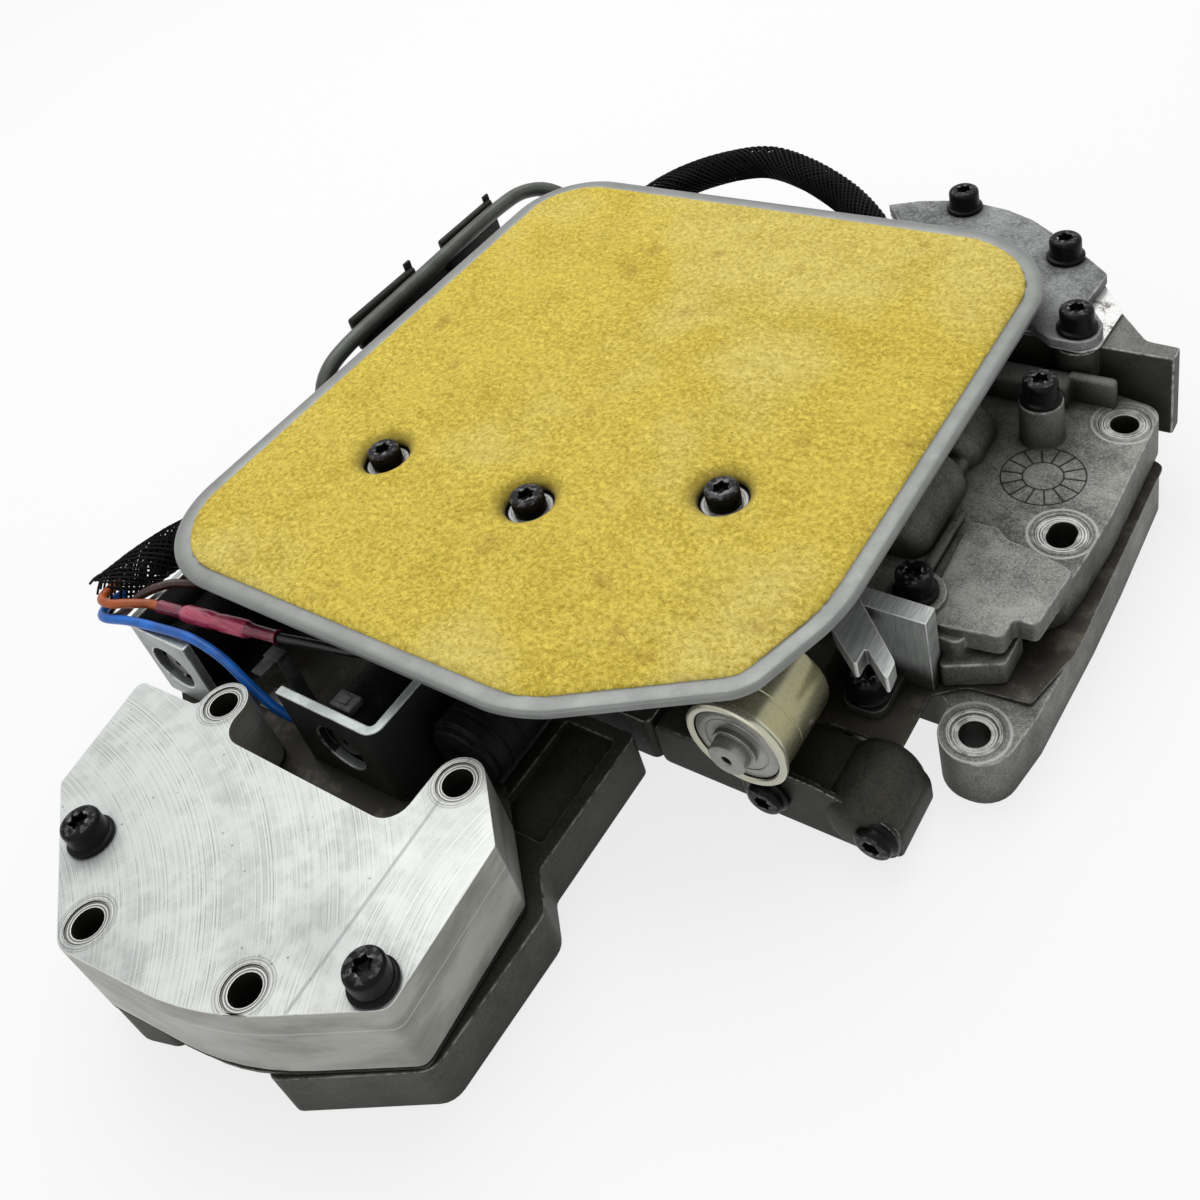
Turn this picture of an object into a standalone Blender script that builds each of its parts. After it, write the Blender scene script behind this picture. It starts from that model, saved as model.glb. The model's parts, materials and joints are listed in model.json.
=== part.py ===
"""Valve body of an automatic transmission, oil filter side up.

Sizes are millimetres. Plan positions are measured from the filter's front left corner, x along
its short side and y along its long side. Heights are measured from the plane it rests on.
"""

import math

import bmesh
import bpy
from mathutils import Matrix, Vector

MM = 0.001
COLLECTION = "transmission_valve_body"
CUTTERS = "cutters"

# Clearances
SEAT_GAP = 0.3
SLIDING_GAP = 0.4
SCREW_GAP = 0.35

# Heights of the stacked castings and plates
BASE_HEIGHT = 17.5
SEPARATOR_THICKNESS = 1.0
GASKET_THICKNESS = 0.7
LOWER_HEIGHT = 15.1
REAR_HEIGHT = 30.7
COVER_BLOCK_HEIGHT = 27.5
SHIM_THICKNESS = 0.8
REAR_COVER_THICKNESS = 3.6

SEPARATOR_BOTTOM = BASE_HEIGHT + SEAT_GAP
SEPARATOR_TOP = SEPARATOR_BOTTOM + SEPARATOR_THICKNESS
HOUSING_BOTTOM = SEPARATOR_TOP + SEAT_GAP
LOWER_TOP = HOUSING_BOTTOM + LOWER_HEIGHT
REAR_TOP = HOUSING_BOTTOM + REAR_HEIGHT
GASKET_TOP = HOUSING_BOTTOM + GASKET_THICKNESS
COVER_BLOCK_BOTTOM = GASKET_TOP + SEAT_GAP
COVER_BLOCK_TOP = COVER_BLOCK_BOTTOM + COVER_BLOCK_HEIGHT
SHIM_BOTTOM = REAR_TOP + SEAT_GAP
SHIM_TOP = SHIM_BOTTOM + SHIM_THICKNESS
REAR_COVER_BOTTOM = SHIM_TOP + SEAT_GAP
REAR_COVER_TOP = REAR_COVER_BOTTOM + REAR_COVER_THICKNESS

# Oil filter
FILTER_WIDTH = 219.6
FILTER_LENGTH = 234.8
FILTER_RISE = 33.8
FILTER_TOP = LOWER_TOP + FILTER_RISE
FILTER_DEPTH = 6.0
FILTER_BAND = 6.2
FILTER_SHEET = 1.0
FILTER_RIM_HEIGHT = 2.6
FILTER_RIM_OVERHANG = 4.6
FILTER_CUT_X = 157.0
FILTER_CUT_Y = 62.0
FELT_CROWN = 1.2
FELT_WELL_RADIUS = 7.6
FELT_DIMPLE_RADIUS = 11.5
FELT_DIMPLE_DEPTH = 3.4
FILTER_BOTTOM = FILTER_TOP - FILTER_DEPTH
FILTER_SCREWS = ((50.8, 67.1), (111.7, 66.5), (166.8, 89.5))
POST_RADIUS = 8.0
NECK_CENTRE = (98.0, 150.0)
NECK_RADIUS = 24.0
NECK_WALL = 2.0

# Screws
FLANGED_HEAD_RADIUS = 5.2
FLANGED_HEAD_HEIGHT = 7.6
FLANGE_RADIUS = 6.2
FLANGE_HEIGHT = 1.7
SOCKET_HEAD_RADIUS = 5.0
SOCKET_HEAD_HEIGHT = 6.4
WASHER_RADIUS = 7.2
WASHER_THICKNESS = 0.8
SHANK_RADIUS = 3.0
SHANK_LENGTH = 12.0
SCREW_HOLE_RADIUS = SHANK_RADIUS + SCREW_GAP
DRIVE_RADIUS = 2.6
DRIVE_DEPTH = 3.4
END_SCREW_SHANK = 7.0

# Through bolt holes of the whole body
BOLT_HOLE_RADIUS = 4.3
SPOTFACE_RADIUS = 8.0
SPOTFACE_DEPTH = 0.5
BLOCK_BOLTS = ((77.0, -86.3), (129.9, -78.9), (56.8, -21.4), (141.2, -12.2))
BLOCK_SCREWS = ((57.0, -69.5), (158.6, -63.2))
LOBE_RADIUS = 7.6
BODY_BOLT = (249.3, 189.6)
SLOT_BOLT = (247.6, 137.5)
SLOT_LENGTH = 2.4
BOSS_BOLT = (245.3, 74.3)
BOSS_RADIUS = 10.0
HOUSING_EDGE_X = 258.3

# Rear housing and its cover
REAR_ARC_CENTRE = (167.1, 214.6)
REAR_ARC_RADIUS = 56.0
REAR_LEFT_X = 160.0
REAR_SCREW_TURNS = ((90.4, -4.8), (32.9, -2.05), (-7.36, 6.42))


def rear_point(degrees, outside):
    """Plan position beyond the arc of the rear housing by a distance."""
    turn = math.radians(degrees)
    reach = REAR_ARC_RADIUS + outside
    return REAR_ARC_CENTRE[0] + reach * math.cos(turn), REAR_ARC_CENTRE[1] + reach * math.sin(turn)


REAR_SCREWS = tuple(rear_point(*spot) for spot in REAR_SCREW_TURNS)
FLANGE_FRONT_Y = 205.5
FLANGE_END_X = 259.6
FLANGE_END_WIDTH = 6.4

# Lower housing
HOUSING_LEFT_X = 30.0
LOWER_FRONT_Y = 88.5
LOWER_BACK_Y = 203.5
TALL_SCREW = (228.1, 175.8)
TALL_BOSS_HEIGHT = 15.3
TALL_BOSS_RADIUS = 7.4
LOW_SCREW = (220.0, 98.0)
LOW_BOSS_HEIGHT = 4.6
LOW_BOSS_RADIUS = 8.6
PAD_RISE = 3.0
PAD_THICKNESS = 7.5
NOSE_RISE = 8.6

# Valve bores run along x inside two round barrels of the lower housing
BORE_RADIUS = 6.5
BARREL_RADIUS = 11.0
BARREL_AXIS_HEIGHT = LOWER_TOP + 1.8
MANUAL_BORE_Y = 166.0
SHIFT_BORE_Y = 131.0
BARREL_START_X = 150.0
MANUAL_BARREL_END_X = 213.0
SHIFT_BARREL_END_X = 216.5
BORE_FLOOR = 5.0
BORE_LEAD = 24.0
MANUAL_VALVE_TRAVEL = 16.0
MANUAL_VALVE_LENGTH = 60.0
SHIFT_VALVE_TRAVEL = 6.0
SHIFT_VALVE_LENGTH = 34.0
LAND_LENGTH = 8.0
STEM_RADIUS = 3.4

# Solenoids in bent strap frames
STRAP = 3.0
LEFT_FRAME = (0.0, 30.0, -13.5, 32.0)
RIGHT_FRAME = (71.5, 111.5, -12.8, 34.0)
FRAME_HEIGHT = 30.9
FRAME_TOP = HOUSING_BOTTOM + FRAME_HEIGHT
POLE_HOLE_RADIUS = 8.7
COIL_GAP = 0.6
PLUNGER_RADIUS = 5.6
PLUNGER_LENGTH = 22.0
PLUNGER_SET_BACK = 2.0
PLUNGER_TRAVEL = 1.6
BOBBIN_RADIUS = PLUNGER_RADIUS + SLIDING_GAP

# Cylindrical pressure solenoid, axis along y
CAN_CENTRE = (197.8, HOUSING_BOTTOM + 18.3)
CAN_RADIUS = 14.3
CAN_WALL = 1.4
CAN_FRONT_Y = 31.0
CAN_LENGTH = 29.5
CAN_RIM = 1.0
CAN_FLOOR = 6.0
NOZZLE_RADIUS = 5.6
NOZZLE_STEP_RADIUS = 6.6
NOZZLE_LENGTH = 5.5
NOZZLE_BORE = 1.5
SPOOL_RADIUS = 5.0
SPOOL_STEM_RADIUS = 2.6
SPOOL_LAND = 5.0
SPOOL_LENGTH = 14.0
SPOOL_TRAVEL = 2.0

# Round black solenoid body beside the right frame
ROUND_RADIUS = 12.2
ROUND_CENTRE = (125.6, HOUSING_BOTTOM + ROUND_RADIUS + 0.1)
ROUND_FRONT_Y = 1.0
ROUND_LENGTH = 30.0

# Clamp block, its screw and the clip
CLAMP_TOP = HOUSING_BOTTOM + 28.9
CLAMP_PLATE = 6.0
CLAMP_WALL_FRONT_Y = 81.6
CLAMP_WALL_DEPTH = 6.3
CLAMP_RIGHT_X = 230.8
CLAMP_FOOT_HEIGHT = 3.0
CLAMP_SHANK = 2.4
CLAMP_SCREW = (215.6, 72.6)
CLIP_SHEET = 0.8

# Dark cast bore end with its sheet cover
BORE_END_LEFT_X = 161.0
BORE_END_RIGHT_X = 238.5
BORE_END_FRONT_Y = 38.6
BORE_END_BACK_Y = 60.0
END_COVER_SHEET = 1.6
END_COVER_SCREWS = ((200.0, BASE_HEIGHT - 6.5), (232.6, BASE_HEIGHT - 6.5))
END_HEAD_HEIGHT = 3.0

# Arm of the accumulator housing
ARM_LEFT_X = 131.5
ARM_RIGHT_X = 158.4
ARM_BACK_Y = 35.5
ARM_LIP = 4.6
ARM_CHANNEL_DEPTH = 2.6

# Accumulator under the cover block
PISTON_CENTRE = (100.0, -60.0)
PISTON_RADIUS = 16.0
PISTON_HEIGHT = 9.0
PISTON_WALL = 2.4
PISTON_TRAVEL = 6.0
SPRING_WIRE = 1.0
SPRING_RADIUS = 9.5
SPRING_TURNS = 3
ACCUMULATOR_DEPTH = 21.0

# Steel tube with its sheet brace
TUBE_RADIUS = 4.0
TUBE_X = -19.5
BRACE_SHEET = 1.4
BRACE_TOP = FILTER_BOTTOM + 0.5
BRACE_FRONT_Y = 127.0
BRACE_BACK_Y = 201.0
BRACE_GAP_FRONT_Y = 162.0
BRACE_GAP_BACK_Y = 180.0

# Wiring
WIRE_RADIUS = 1.5
SPLICE_RADIUS = 2.9
SPLICE_END_RADIUS = 2.2
SPLICE_MIDDLE = 26.0
SPLICE_HEIGHT = FRAME_TOP + 2.2
SPLICE_ENDS = ((10.0, -4.7, SPLICE_HEIGHT), (59.0, 2.0, SPLICE_HEIGHT))
SLEEVE_RADIUS = 7.5
SLEEVE_WALL = 1.0
HARNESS_RADIUS = 6.4

# Facets of round forms: how far a facet may stand in from the true arc
FACET_ERROR = 0.062

# The origin is under the middle of the whole body
LEFT_END = TUBE_X - TUBE_RADIUS - SEAT_GAP - BRACE_SHEET
RIGHT_END = 261.2
FRONT_END = -94.33
BACK_END = 272.1
CENTRE_X = (LEFT_END + RIGHT_END) / 2
CENTRE_Y = (FRONT_END + BACK_END) / 2


def place(x, y, z):
    """World position in metres of a point given in millimetres."""
    return Vector(((x - CENTRE_X) * MM, (y - CENTRE_Y) * MM, z * MM))


def collection(name):
    found = bpy.data.collections.get(name)
    if found is None:
        found = bpy.data.collections.new(name)
        bpy.context.scene.collection.children.link(found)
    return found


def clear_scene():
    for old in list(bpy.data.objects):
        bpy.data.objects.remove(old, do_unlink=True)


def material(name, colour, roughness, metallic):
    made = bpy.data.materials.get(name) or bpy.data.materials.new(name)
    made.use_nodes = True
    shader = made.node_tree.nodes["Principled BSDF"]
    shader.inputs["Base Color"].default_value = (*colour, 1.0)
    shader.inputs["Roughness"].default_value = roughness
    shader.inputs["Metallic"].default_value = metallic
    return made


def give(part, name, colour, roughness=0.5, metallic=0.0):
    """Give the part its own material."""
    part.data.materials.clear()
    part.data.materials.append(material(name, colour, roughness, metallic))
    return part


CAST = dict(colour=(0.36, 0.36, 0.34), roughness=0.55, metallic=0.85)
DARK_CAST = dict(colour=(0.09, 0.09, 0.085), roughness=0.5, metallic=0.8)
MILLED = dict(colour=(0.74, 0.75, 0.74), roughness=0.3, metallic=0.9)
ZINC = dict(colour=(0.5, 0.54, 0.53), roughness=0.35, metallic=0.9)
STEEL = dict(colour=(0.2, 0.2, 0.2), roughness=0.4, metallic=0.9)
BLACK_STEEL = dict(colour=(0.02, 0.02, 0.02), roughness=0.4, metallic=0.6)
BLACK_PLASTIC = dict(colour=(0.02, 0.02, 0.022), roughness=0.5, metallic=0.0)
VALVE_STEEL = dict(colour=(0.55, 0.55, 0.55), roughness=0.25, metallic=1.0)


def facets(radius, turn=2 * math.pi):
    """How many facets an arc of this radius needs."""
    if radius <= FACET_ERROR:
        return 2
    each = 2 * math.acos(1 - min(FACET_ERROR / radius, 0.5))
    return max(2, math.ceil(abs(turn) / each))


def corner_arc(before, corner, after):
    """Points of the arc of the corner's radius that touches both its sides."""
    here = Vector(corner[:2])
    radius = corner[2]
    if radius <= 0:
        return [tuple(here)]
    to_before = (Vector(before[:2]) - here).normalized()
    to_after = (Vector(after[:2]) - here).normalized()
    half = to_before.angle(to_after) / 2
    centre = here + (to_before + to_after).normalized() * (radius / math.sin(half))
    first = here + to_before * (radius / math.tan(half)) - centre
    last = here + to_after * (radius / math.tan(half)) - centre
    turn = math.atan2(first.x * last.y - first.y * last.x, first.dot(last))
    steps = facets(radius, turn)
    points = []
    for step in range(steps + 1):
        spun = Matrix.Rotation(turn * step / steps, 2) @ first
        points.append(tuple(centre + spun))
    return points


def rounded(corners):
    """Closed outline through corners (x, y, radius)."""
    points = []
    for index, corner in enumerate(corners):
        after = corners[(index + 1) % len(corners)]
        points.extend(corner_arc(corners[index - 1], corner, after))
    return points


def inset(corners, distance):
    """The corners of the same outline moved inward; they run anticlockwise."""
    moved = []
    for index, (x, y, radius) in enumerate(corners):
        here = Vector((x, y))
        before = Vector(corners[index - 1][:2])
        after = Vector(corners[(index + 1) % len(corners)][:2])
        arriving = (here - before).normalized()
        leaving = (after - here).normalized()
        normal_a = Vector((-arriving.y, arriving.x))
        normal_b = Vector((-leaving.y, leaving.x))
        shift = (normal_a + normal_b) / (1 + normal_a.dot(normal_b)) * distance
        convex = arriving.x * leaving.y - arriving.y * leaving.x > 0
        changed = radius - distance if convex else radius + distance
        moved.append((x + shift.x, y + shift.y, max(changed, 0.0) if radius else 0.0))
    return moved


def circle(x, y, radius):
    steps = facets(radius)
    turns = [2 * math.pi * step / steps for step in range(steps)]
    return [(x + radius * math.cos(turn), y + radius * math.sin(turn)) for turn in turns]


def slot_outline(x, y, radius, stretch):
    """Round hole stretched along y."""
    steps = math.ceil(facets(radius) / 2)
    points = []
    for step in range(steps * 2):
        turn = 2 * math.pi * (step + 0.5) / (steps * 2)
        shift = stretch / 2 if math.sin(turn) > 0 else -stretch / 2
        points.append((x + radius * math.cos(turn), y + shift + radius * math.sin(turn)))
    return points


def box_outline(left, right, front, back):
    return [(left, front), (right, front), (right, back), (left, back)]


def new_object(name, data, group=COLLECTION):
    made = bpy.data.objects.new(name, data)
    collection(group).objects.link(made)
    return made


def close_mesh(mesh):
    """Weld a mesh's loose caps and point its faces out."""
    shape = bmesh.new()
    shape.from_mesh(mesh)
    bmesh.ops.remove_doubles(shape, verts=shape.verts, dist=0.00001)
    bmesh.ops.recalc_face_normals(shape, faces=shape.faces)
    shape.to_mesh(mesh)
    shape.free()


def curve_to_mesh(made):
    """Turn a curve object into a mesh object with the same name and place."""
    seen = made.evaluated_get(bpy.context.evaluated_depsgraph_get())
    mesh = bpy.data.meshes.new_from_object(seen)
    close_mesh(mesh)
    name = made.name
    group = made.users_collection[0].name
    matrix = made.matrix_world.copy()
    curve = made.data
    bpy.data.objects.remove(made)
    bpy.data.curves.remove(curve)
    solid = new_object(name, mesh, group)
    solid.name = name
    solid.matrix_world = matrix
    return solid


def slab(name, outline, bottom, top, holes=(), group=COLLECTION):
    """Flat outline raised from bottom to top, with holes through it."""
    curve = bpy.data.curves.new(name, "CURVE")
    curve.dimensions = "2D"
    curve.fill_mode = "BOTH"
    curve.extrude = (top - bottom) / 2 * MM
    for ring in (outline, *holes):
        spline = curve.splines.new("POLY")
        spline.points.add(len(ring) - 1)
        spline.use_cyclic_u = True
        for point, (x, y) in zip(spline.points, ring):
            point.co = ((x - CENTRE_X) * MM, (y - CENTRE_Y) * MM, 0, 1)
    made = new_object(name, curve, group)
    made.location.z = (top + bottom) / 2 * MM
    bpy.context.view_layer.update()
    return curve_to_mesh(made)


def wall_slab(name, outline, front, back, holes=(), group=COLLECTION):
    """Outline drawn in x and height, raised along y from front to back."""
    shape = bpy.data.curves.new(name, "CURVE")
    shape.dimensions = "2D"
    shape.fill_mode = "BOTH"
    shape.extrude = (back - front) / 2 * MM
    for ring in (outline, *holes):
        spline = shape.splines.new("POLY")
        spline.points.add(len(ring) - 1)
        spline.use_cyclic_u = True
        for point, (x, z) in zip(spline.points, ring):
            point.co = ((x - CENTRE_X) * MM, z * MM, 0, 1)
    made = new_object(name, shape, group)
    made.rotation_euler.x = math.pi / 2
    made.location.y = ((front + back) / 2 - CENTRE_Y) * MM
    bpy.context.view_layer.update()
    return curve_to_mesh(made)


def cylinder(name, centre, axis, radius, length, group=CUTTERS, taper=0.0):
    """Cylinder that starts at centre and runs along the axis."""
    shape = bmesh.new()
    bmesh.ops.create_cone(shape, cap_ends=True, segments=facets(radius), radius1=radius * MM,
                          radius2=(radius - taper) * MM, depth=length * MM)
    bmesh.ops.translate(shape, verts=shape.verts, vec=(0, 0, length / 2 * MM))
    mesh = bpy.data.meshes.new(name)
    shape.to_mesh(mesh)
    shape.free()
    made = new_object(name, mesh, group)
    made.location = place(*centre)
    made.rotation_euler = Vector(axis).to_track_quat("Z", "Y").to_euler()
    return made


def block(name, low, high, group=COLLECTION):
    """Box between two corners."""
    shape = bmesh.new()
    bmesh.ops.create_cube(shape, size=1.0)
    size = Vector(high) - Vector(low)
    bmesh.ops.scale(shape, verts=shape.verts, vec=size * MM)
    mesh = bpy.data.meshes.new(name)
    shape.to_mesh(mesh)
    shape.free()
    made = new_object(name, mesh, group)
    made.location = place(*((Vector(low) + Vector(high)) / 2))
    return made


def turned(name, profile, group=COLLECTION):
    """Solid of revolution about its own Z; the profile (radius, height) runs from top to bottom."""
    steps = facets(max(radius for radius, height in profile))
    mesh = bpy.data.meshes.new(name)
    points = [(radius * MM, 0, height * MM) for radius, height in profile]
    mesh.from_pydata(points, [(i, i + 1) for i in range(len(points) - 1)], [])
    made = new_object(name, mesh, group)
    screw = made.modifiers.new("turn", "SCREW")
    screw.axis = "Z"
    screw.steps = steps
    screw.render_steps = steps
    screw.use_merge_vertices = True
    screw.merge_threshold = 0.00001
    screw.use_normal_calculate = True
    return made


def settle(part):
    """Apply a part's modifiers to its mesh."""
    bpy.context.view_layer.update()
    seen = part.evaluated_get(bpy.context.evaluated_depsgraph_get())
    mesh = bpy.data.meshes.new_from_object(seen)
    close_mesh(mesh)
    part.modifiers.clear()
    part.data = mesh
    return part


def as_cutter(tool):
    tool.hide_render = True
    tool.display_type = "WIRE"
    return tool


def combine(part, tools, operation):
    for tool in tools:
        change = part.modifiers.new(tool.name, "BOOLEAN")
        change.operation = operation
        change.solver = "EXACT"
        change.object = as_cutter(tool)
    return part


def join(part, *tools):
    return combine(part, tools, "UNION")


def cut(part, *tools):
    return combine(part, tools, "DIFFERENCE")


def soften(part, width, segments=1, angle=50):
    bevel = part.modifiers.new("soft edges", "BEVEL")
    bevel.width = width * MM
    bevel.segments = segments
    bevel.limit_method = "ANGLE"
    bevel.angle_limit = math.radians(angle)
    return part


def smooth_route(knots, spacing):
    """Even points along a smooth curve through the knots."""
    points = [Vector(knot) for knot in knots]
    ends = [points[0] * 2 - points[1], *points, points[-1] * 2 - points[-2]]
    fine = []
    for a, b, c, d in zip(ends, ends[1:], ends[2:], ends[3:]):
        for step in range(12):
            t = step / 12
            fine.append(0.5 * (2 * b + (c - a) * t + (2 * a - 5 * b + 4 * c - d) * t ** 2
                               + (3 * b - a - 3 * c + d) * t ** 3))
    fine.append(points[-1])
    length = sum((q - p).length for p, q in zip(fine, fine[1:]))
    count = max(3, round(length / spacing))
    even = [fine[0]]
    walked = 0.0
    for p, q in zip(fine, fine[1:]):
        piece = (q - p).length
        while len(even) < count and walked + piece >= len(even) * length / count:
            even.append(p.lerp(q, (len(even) * length / count - walked) / piece))
        walked += piece
    even.append(fine[-1])
    return even


def tube(name, knots, radius, spacing, sides=3, group=COLLECTION):
    """Round bar or wire along a smooth route."""
    curve = bpy.data.curves.new(name, "CURVE")
    curve.dimensions = "3D"
    curve.bevel_depth = radius * MM
    curve.bevel_resolution = sides
    curve.use_fill_caps = True
    route = smooth_route(knots, spacing)
    spline = curve.splines.new("POLY")
    spline.points.add(len(route) - 1)
    for point, here in zip(spline.points, route):
        point.co = (*place(*here), 1)
    return curve_to_mesh(new_object(name, curve, group))


# Screws

def drive_outline():
    """Six-lobed socket of a screw head."""
    points = []
    for step in range(24):
        turn = math.pi * step / 12
        reach = DRIVE_RADIUS * (0.88 + 0.12 * math.cos(6 * turn))
        points.append((CENTRE_X + reach * math.cos(turn), CENTRE_Y + reach * math.sin(turn)))
    return points


def screw_mesh(name, profile, head_top):
    """Screw with its seat at height nought, head up."""
    made = turned(name, profile, CUTTERS)
    socket = slab(name + "_socket", drive_outline(), head_top - DRIVE_DEPTH,
                  head_top + 1, group=CUTTERS)
    settle(cut(made, socket))
    mesh = made.data
    bpy.data.objects.remove(made)
    bpy.data.objects.remove(socket)
    return mesh


def flanged_profile(shank_length, head_height=FLANGED_HEAD_HEIGHT):
    top = FLANGE_HEIGHT + head_height
    return [(0, top), (FLANGED_HEAD_RADIUS - 1.2, top), (FLANGED_HEAD_RADIUS, top - 1.2),
            (FLANGED_HEAD_RADIUS, FLANGE_HEIGHT), (FLANGE_RADIUS, FLANGE_HEIGHT - 0.5),
            (FLANGE_RADIUS, 0), (SHANK_RADIUS, 0), (SHANK_RADIUS, -shank_length), (0, -shank_length)]


def socket_profile(shank_length):
    top = SOCKET_HEAD_HEIGHT
    return [(0, top), (SOCKET_HEAD_RADIUS - 0.7, top), (SOCKET_HEAD_RADIUS, top - 0.7),
            (SOCKET_HEAD_RADIUS, 0), (SHANK_RADIUS, 0), (SHANK_RADIUS, -shank_length),
            (0, -shank_length)]


def put_screw(name, mesh, x, y, seat, axis=(0, 0, 1)):
    made = new_object(name, mesh)
    made.location = place(x, y, seat)
    made.rotation_euler = Vector(axis).to_track_quat("Z", "Y").to_euler()
    return made


def screw_pit(x, y, seat, depth):
    """Blind hole that takes a screw's shank."""
    return cylinder("screw_pit", (x, y, seat - depth), (0, 0, 1), SCREW_HOLE_RADIUS, depth + 4)


# Oil filter

def filter_corners():
    return [(0, 0, 34), (FILTER_CUT_X, 0, 40), (FILTER_WIDTH - 10.6, 30.5, 14),
            (FILTER_WIDTH, FILTER_CUT_Y, 50), (FILTER_WIDTH, FILTER_LENGTH, 38),
            (0, FILTER_LENGTH, 29)]


def build_filter():
    """Pressed pan with a rolled rim, and the felt pad in it."""
    holes = [circle(x, y, SCREW_HOLE_RADIUS) for x, y in FILTER_SCREWS]
    neck = circle(*NECK_CENTRE, NECK_RADIUS - NECK_WALL)
    body = inset(filter_corners(), FILTER_RIM_OVERHANG)
    pan = slab("filter_pan", rounded(body), FILTER_BOTTOM, FILTER_TOP - FILTER_RIM_HEIGHT / 2,
               [*holes, neck])
    rim = slab("filter_rim", rounded(filter_corners()), FILTER_TOP - FILTER_RIM_HEIGHT, FILTER_TOP,
               group=CUTTERS)
    soften(rim, 1.0, 2, 80)
    inner = inset(filter_corners(), FILTER_BAND)
    well = slab("filter_well", rounded(inner), FILTER_BOTTOM + FILTER_SHEET, FILTER_TOP + 5,
                group=CUTTERS)
    join(pan, rim)
    give(cut(pan, well), "filter_steel", (0.52, 0.54, 0.54), 0.35, 0.9)

    felt_top = FILTER_TOP + FELT_CROWN
    felt_bottom = FILTER_BOTTOM + FILTER_SHEET + SEAT_GAP
    felt = slab("filter_felt", rounded(inset(filter_corners(), FILTER_BAND + SEAT_GAP)), felt_bottom, felt_top)
    soften(felt, 0.9, 1, 80)
    slope = (FELT_DIMPLE_RADIUS - FELT_WELL_RADIUS) / FELT_DIMPLE_DEPTH
    dimples = []
    for x, y in FILTER_SCREWS:
        funnel = turned("dimple", [(0, 1), (FELT_DIMPLE_RADIUS + slope, 1),
                                   (FELT_WELL_RADIUS, -FELT_DIMPLE_DEPTH),
                                   (FELT_WELL_RADIUS, felt_bottom - felt_top - 1),
                                   (0, felt_bottom - felt_top - 1)], CUTTERS)
        funnel.location = place(x, y, felt_top)
        dimples.append(settle(funnel))
    give(cut(felt, *dimples), "felt", (0.72, 0.56, 0.13), 0.95)


def build_filter_screws():
    seat = FILTER_BOTTOM + FILTER_SHEET + SEAT_GAP
    mesh = screw_mesh("filter_screw", socket_profile(SHANK_LENGTH), SOCKET_HEAD_HEIGHT)
    for index, (x, y) in enumerate(FILTER_SCREWS, 1):
        washer = slab(f"filter_washer_{index}", circle(x, y, WASHER_RADIUS), seat,
                      seat + WASHER_THICKNESS, [circle(x, y, SCREW_HOLE_RADIUS)])
        give(washer, "washer_steel", (0.7, 0.7, 0.68), 0.25, 1.0)
        screw = put_screw(f"filter_screw_{index}", mesh, x, y, seat + WASHER_THICKNESS + SEAT_GAP)
        give(screw, "filter_screw_steel", **BLACK_STEEL)


def build_neck():
    """Suction neck between the filter pan and the lower housing."""
    x, y = NECK_CENTRE
    neck = slab("filter_neck", circle(x, y, NECK_RADIUS), LOWER_TOP + SEAT_GAP,
                FILTER_BOTTOM - SEAT_GAP, [circle(x, y, NECK_RADIUS - NECK_WALL)])
    give(neck, "neck_steel", **ZINC)


# Cover block over the accumulator

def block_corners():
    """Outline of the cover block, with a lobe round each outer bolt."""
    top_lobe = BLOCK_BOLTS[2]
    lobe_left = top_lobe[0] - LOBE_RADIUS
    lobe_right = top_lobe[0] + LOBE_RADIUS
    lobe_top = top_lobe[1] + LOBE_RADIUS
    side = BLOCK_BOLTS[3][0] - LOBE_RADIUS
    return [(31.5, -62.0, 3), (75.3, -94.6, LOBE_RADIUS), (124.4, -89.9, 90), (166.0, -66.3, 3.5),
            (162.7, -22.5, 2), (side, 5.9, LOBE_RADIUS), (side, -29.9, 7),
            (lobe_right, -29.9, 7.5), (lobe_right, lobe_top, LOBE_RADIUS),
            (lobe_left, lobe_top, LOBE_RADIUS), (lobe_left, -25.2, 2), (23.8, -26.3, 2.5)]


def spotface(x, y, top, radius=SPOTFACE_RADIUS, depth=SPOTFACE_DEPTH):
    return cylinder("spotface", (x, y, top - depth), (0, 0, 1), radius, 6)


def build_cover_block():
    bolts = [circle(x, y, BOLT_HOLE_RADIUS) for x, y in BLOCK_BOLTS]
    screws = [circle(x, y, SCREW_HOLE_RADIUS) for x, y in BLOCK_SCREWS]
    made = slab("cover_block", rounded(block_corners()), COVER_BLOCK_BOTTOM, COVER_BLOCK_TOP,
                [*bolts, *screws])
    cuts = [spotface(x, y, COVER_BLOCK_TOP, LOBE_RADIUS - 1.6) for x, y in BLOCK_BOLTS]
    x, y = PISTON_CENTRE
    bore = cylinder("accumulator_bore", (x, y, COVER_BLOCK_BOTTOM - 1), (0, 0, 1),
                    PISTON_RADIUS + SLIDING_GAP, ACCUMULATOR_DEPTH + 1)
    give(cut(made, *cuts, bore), "milled_aluminium", **MILLED)

    ring = circle(x, y, PISTON_RADIUS + 2)
    gasket = slab("cover_gasket", rounded(block_corners()), HOUSING_BOTTOM, GASKET_TOP,
                  [*bolts, *screws, ring])
    give(gasket, "gasket_paper", (0.03, 0.03, 0.03), 0.8)


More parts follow.
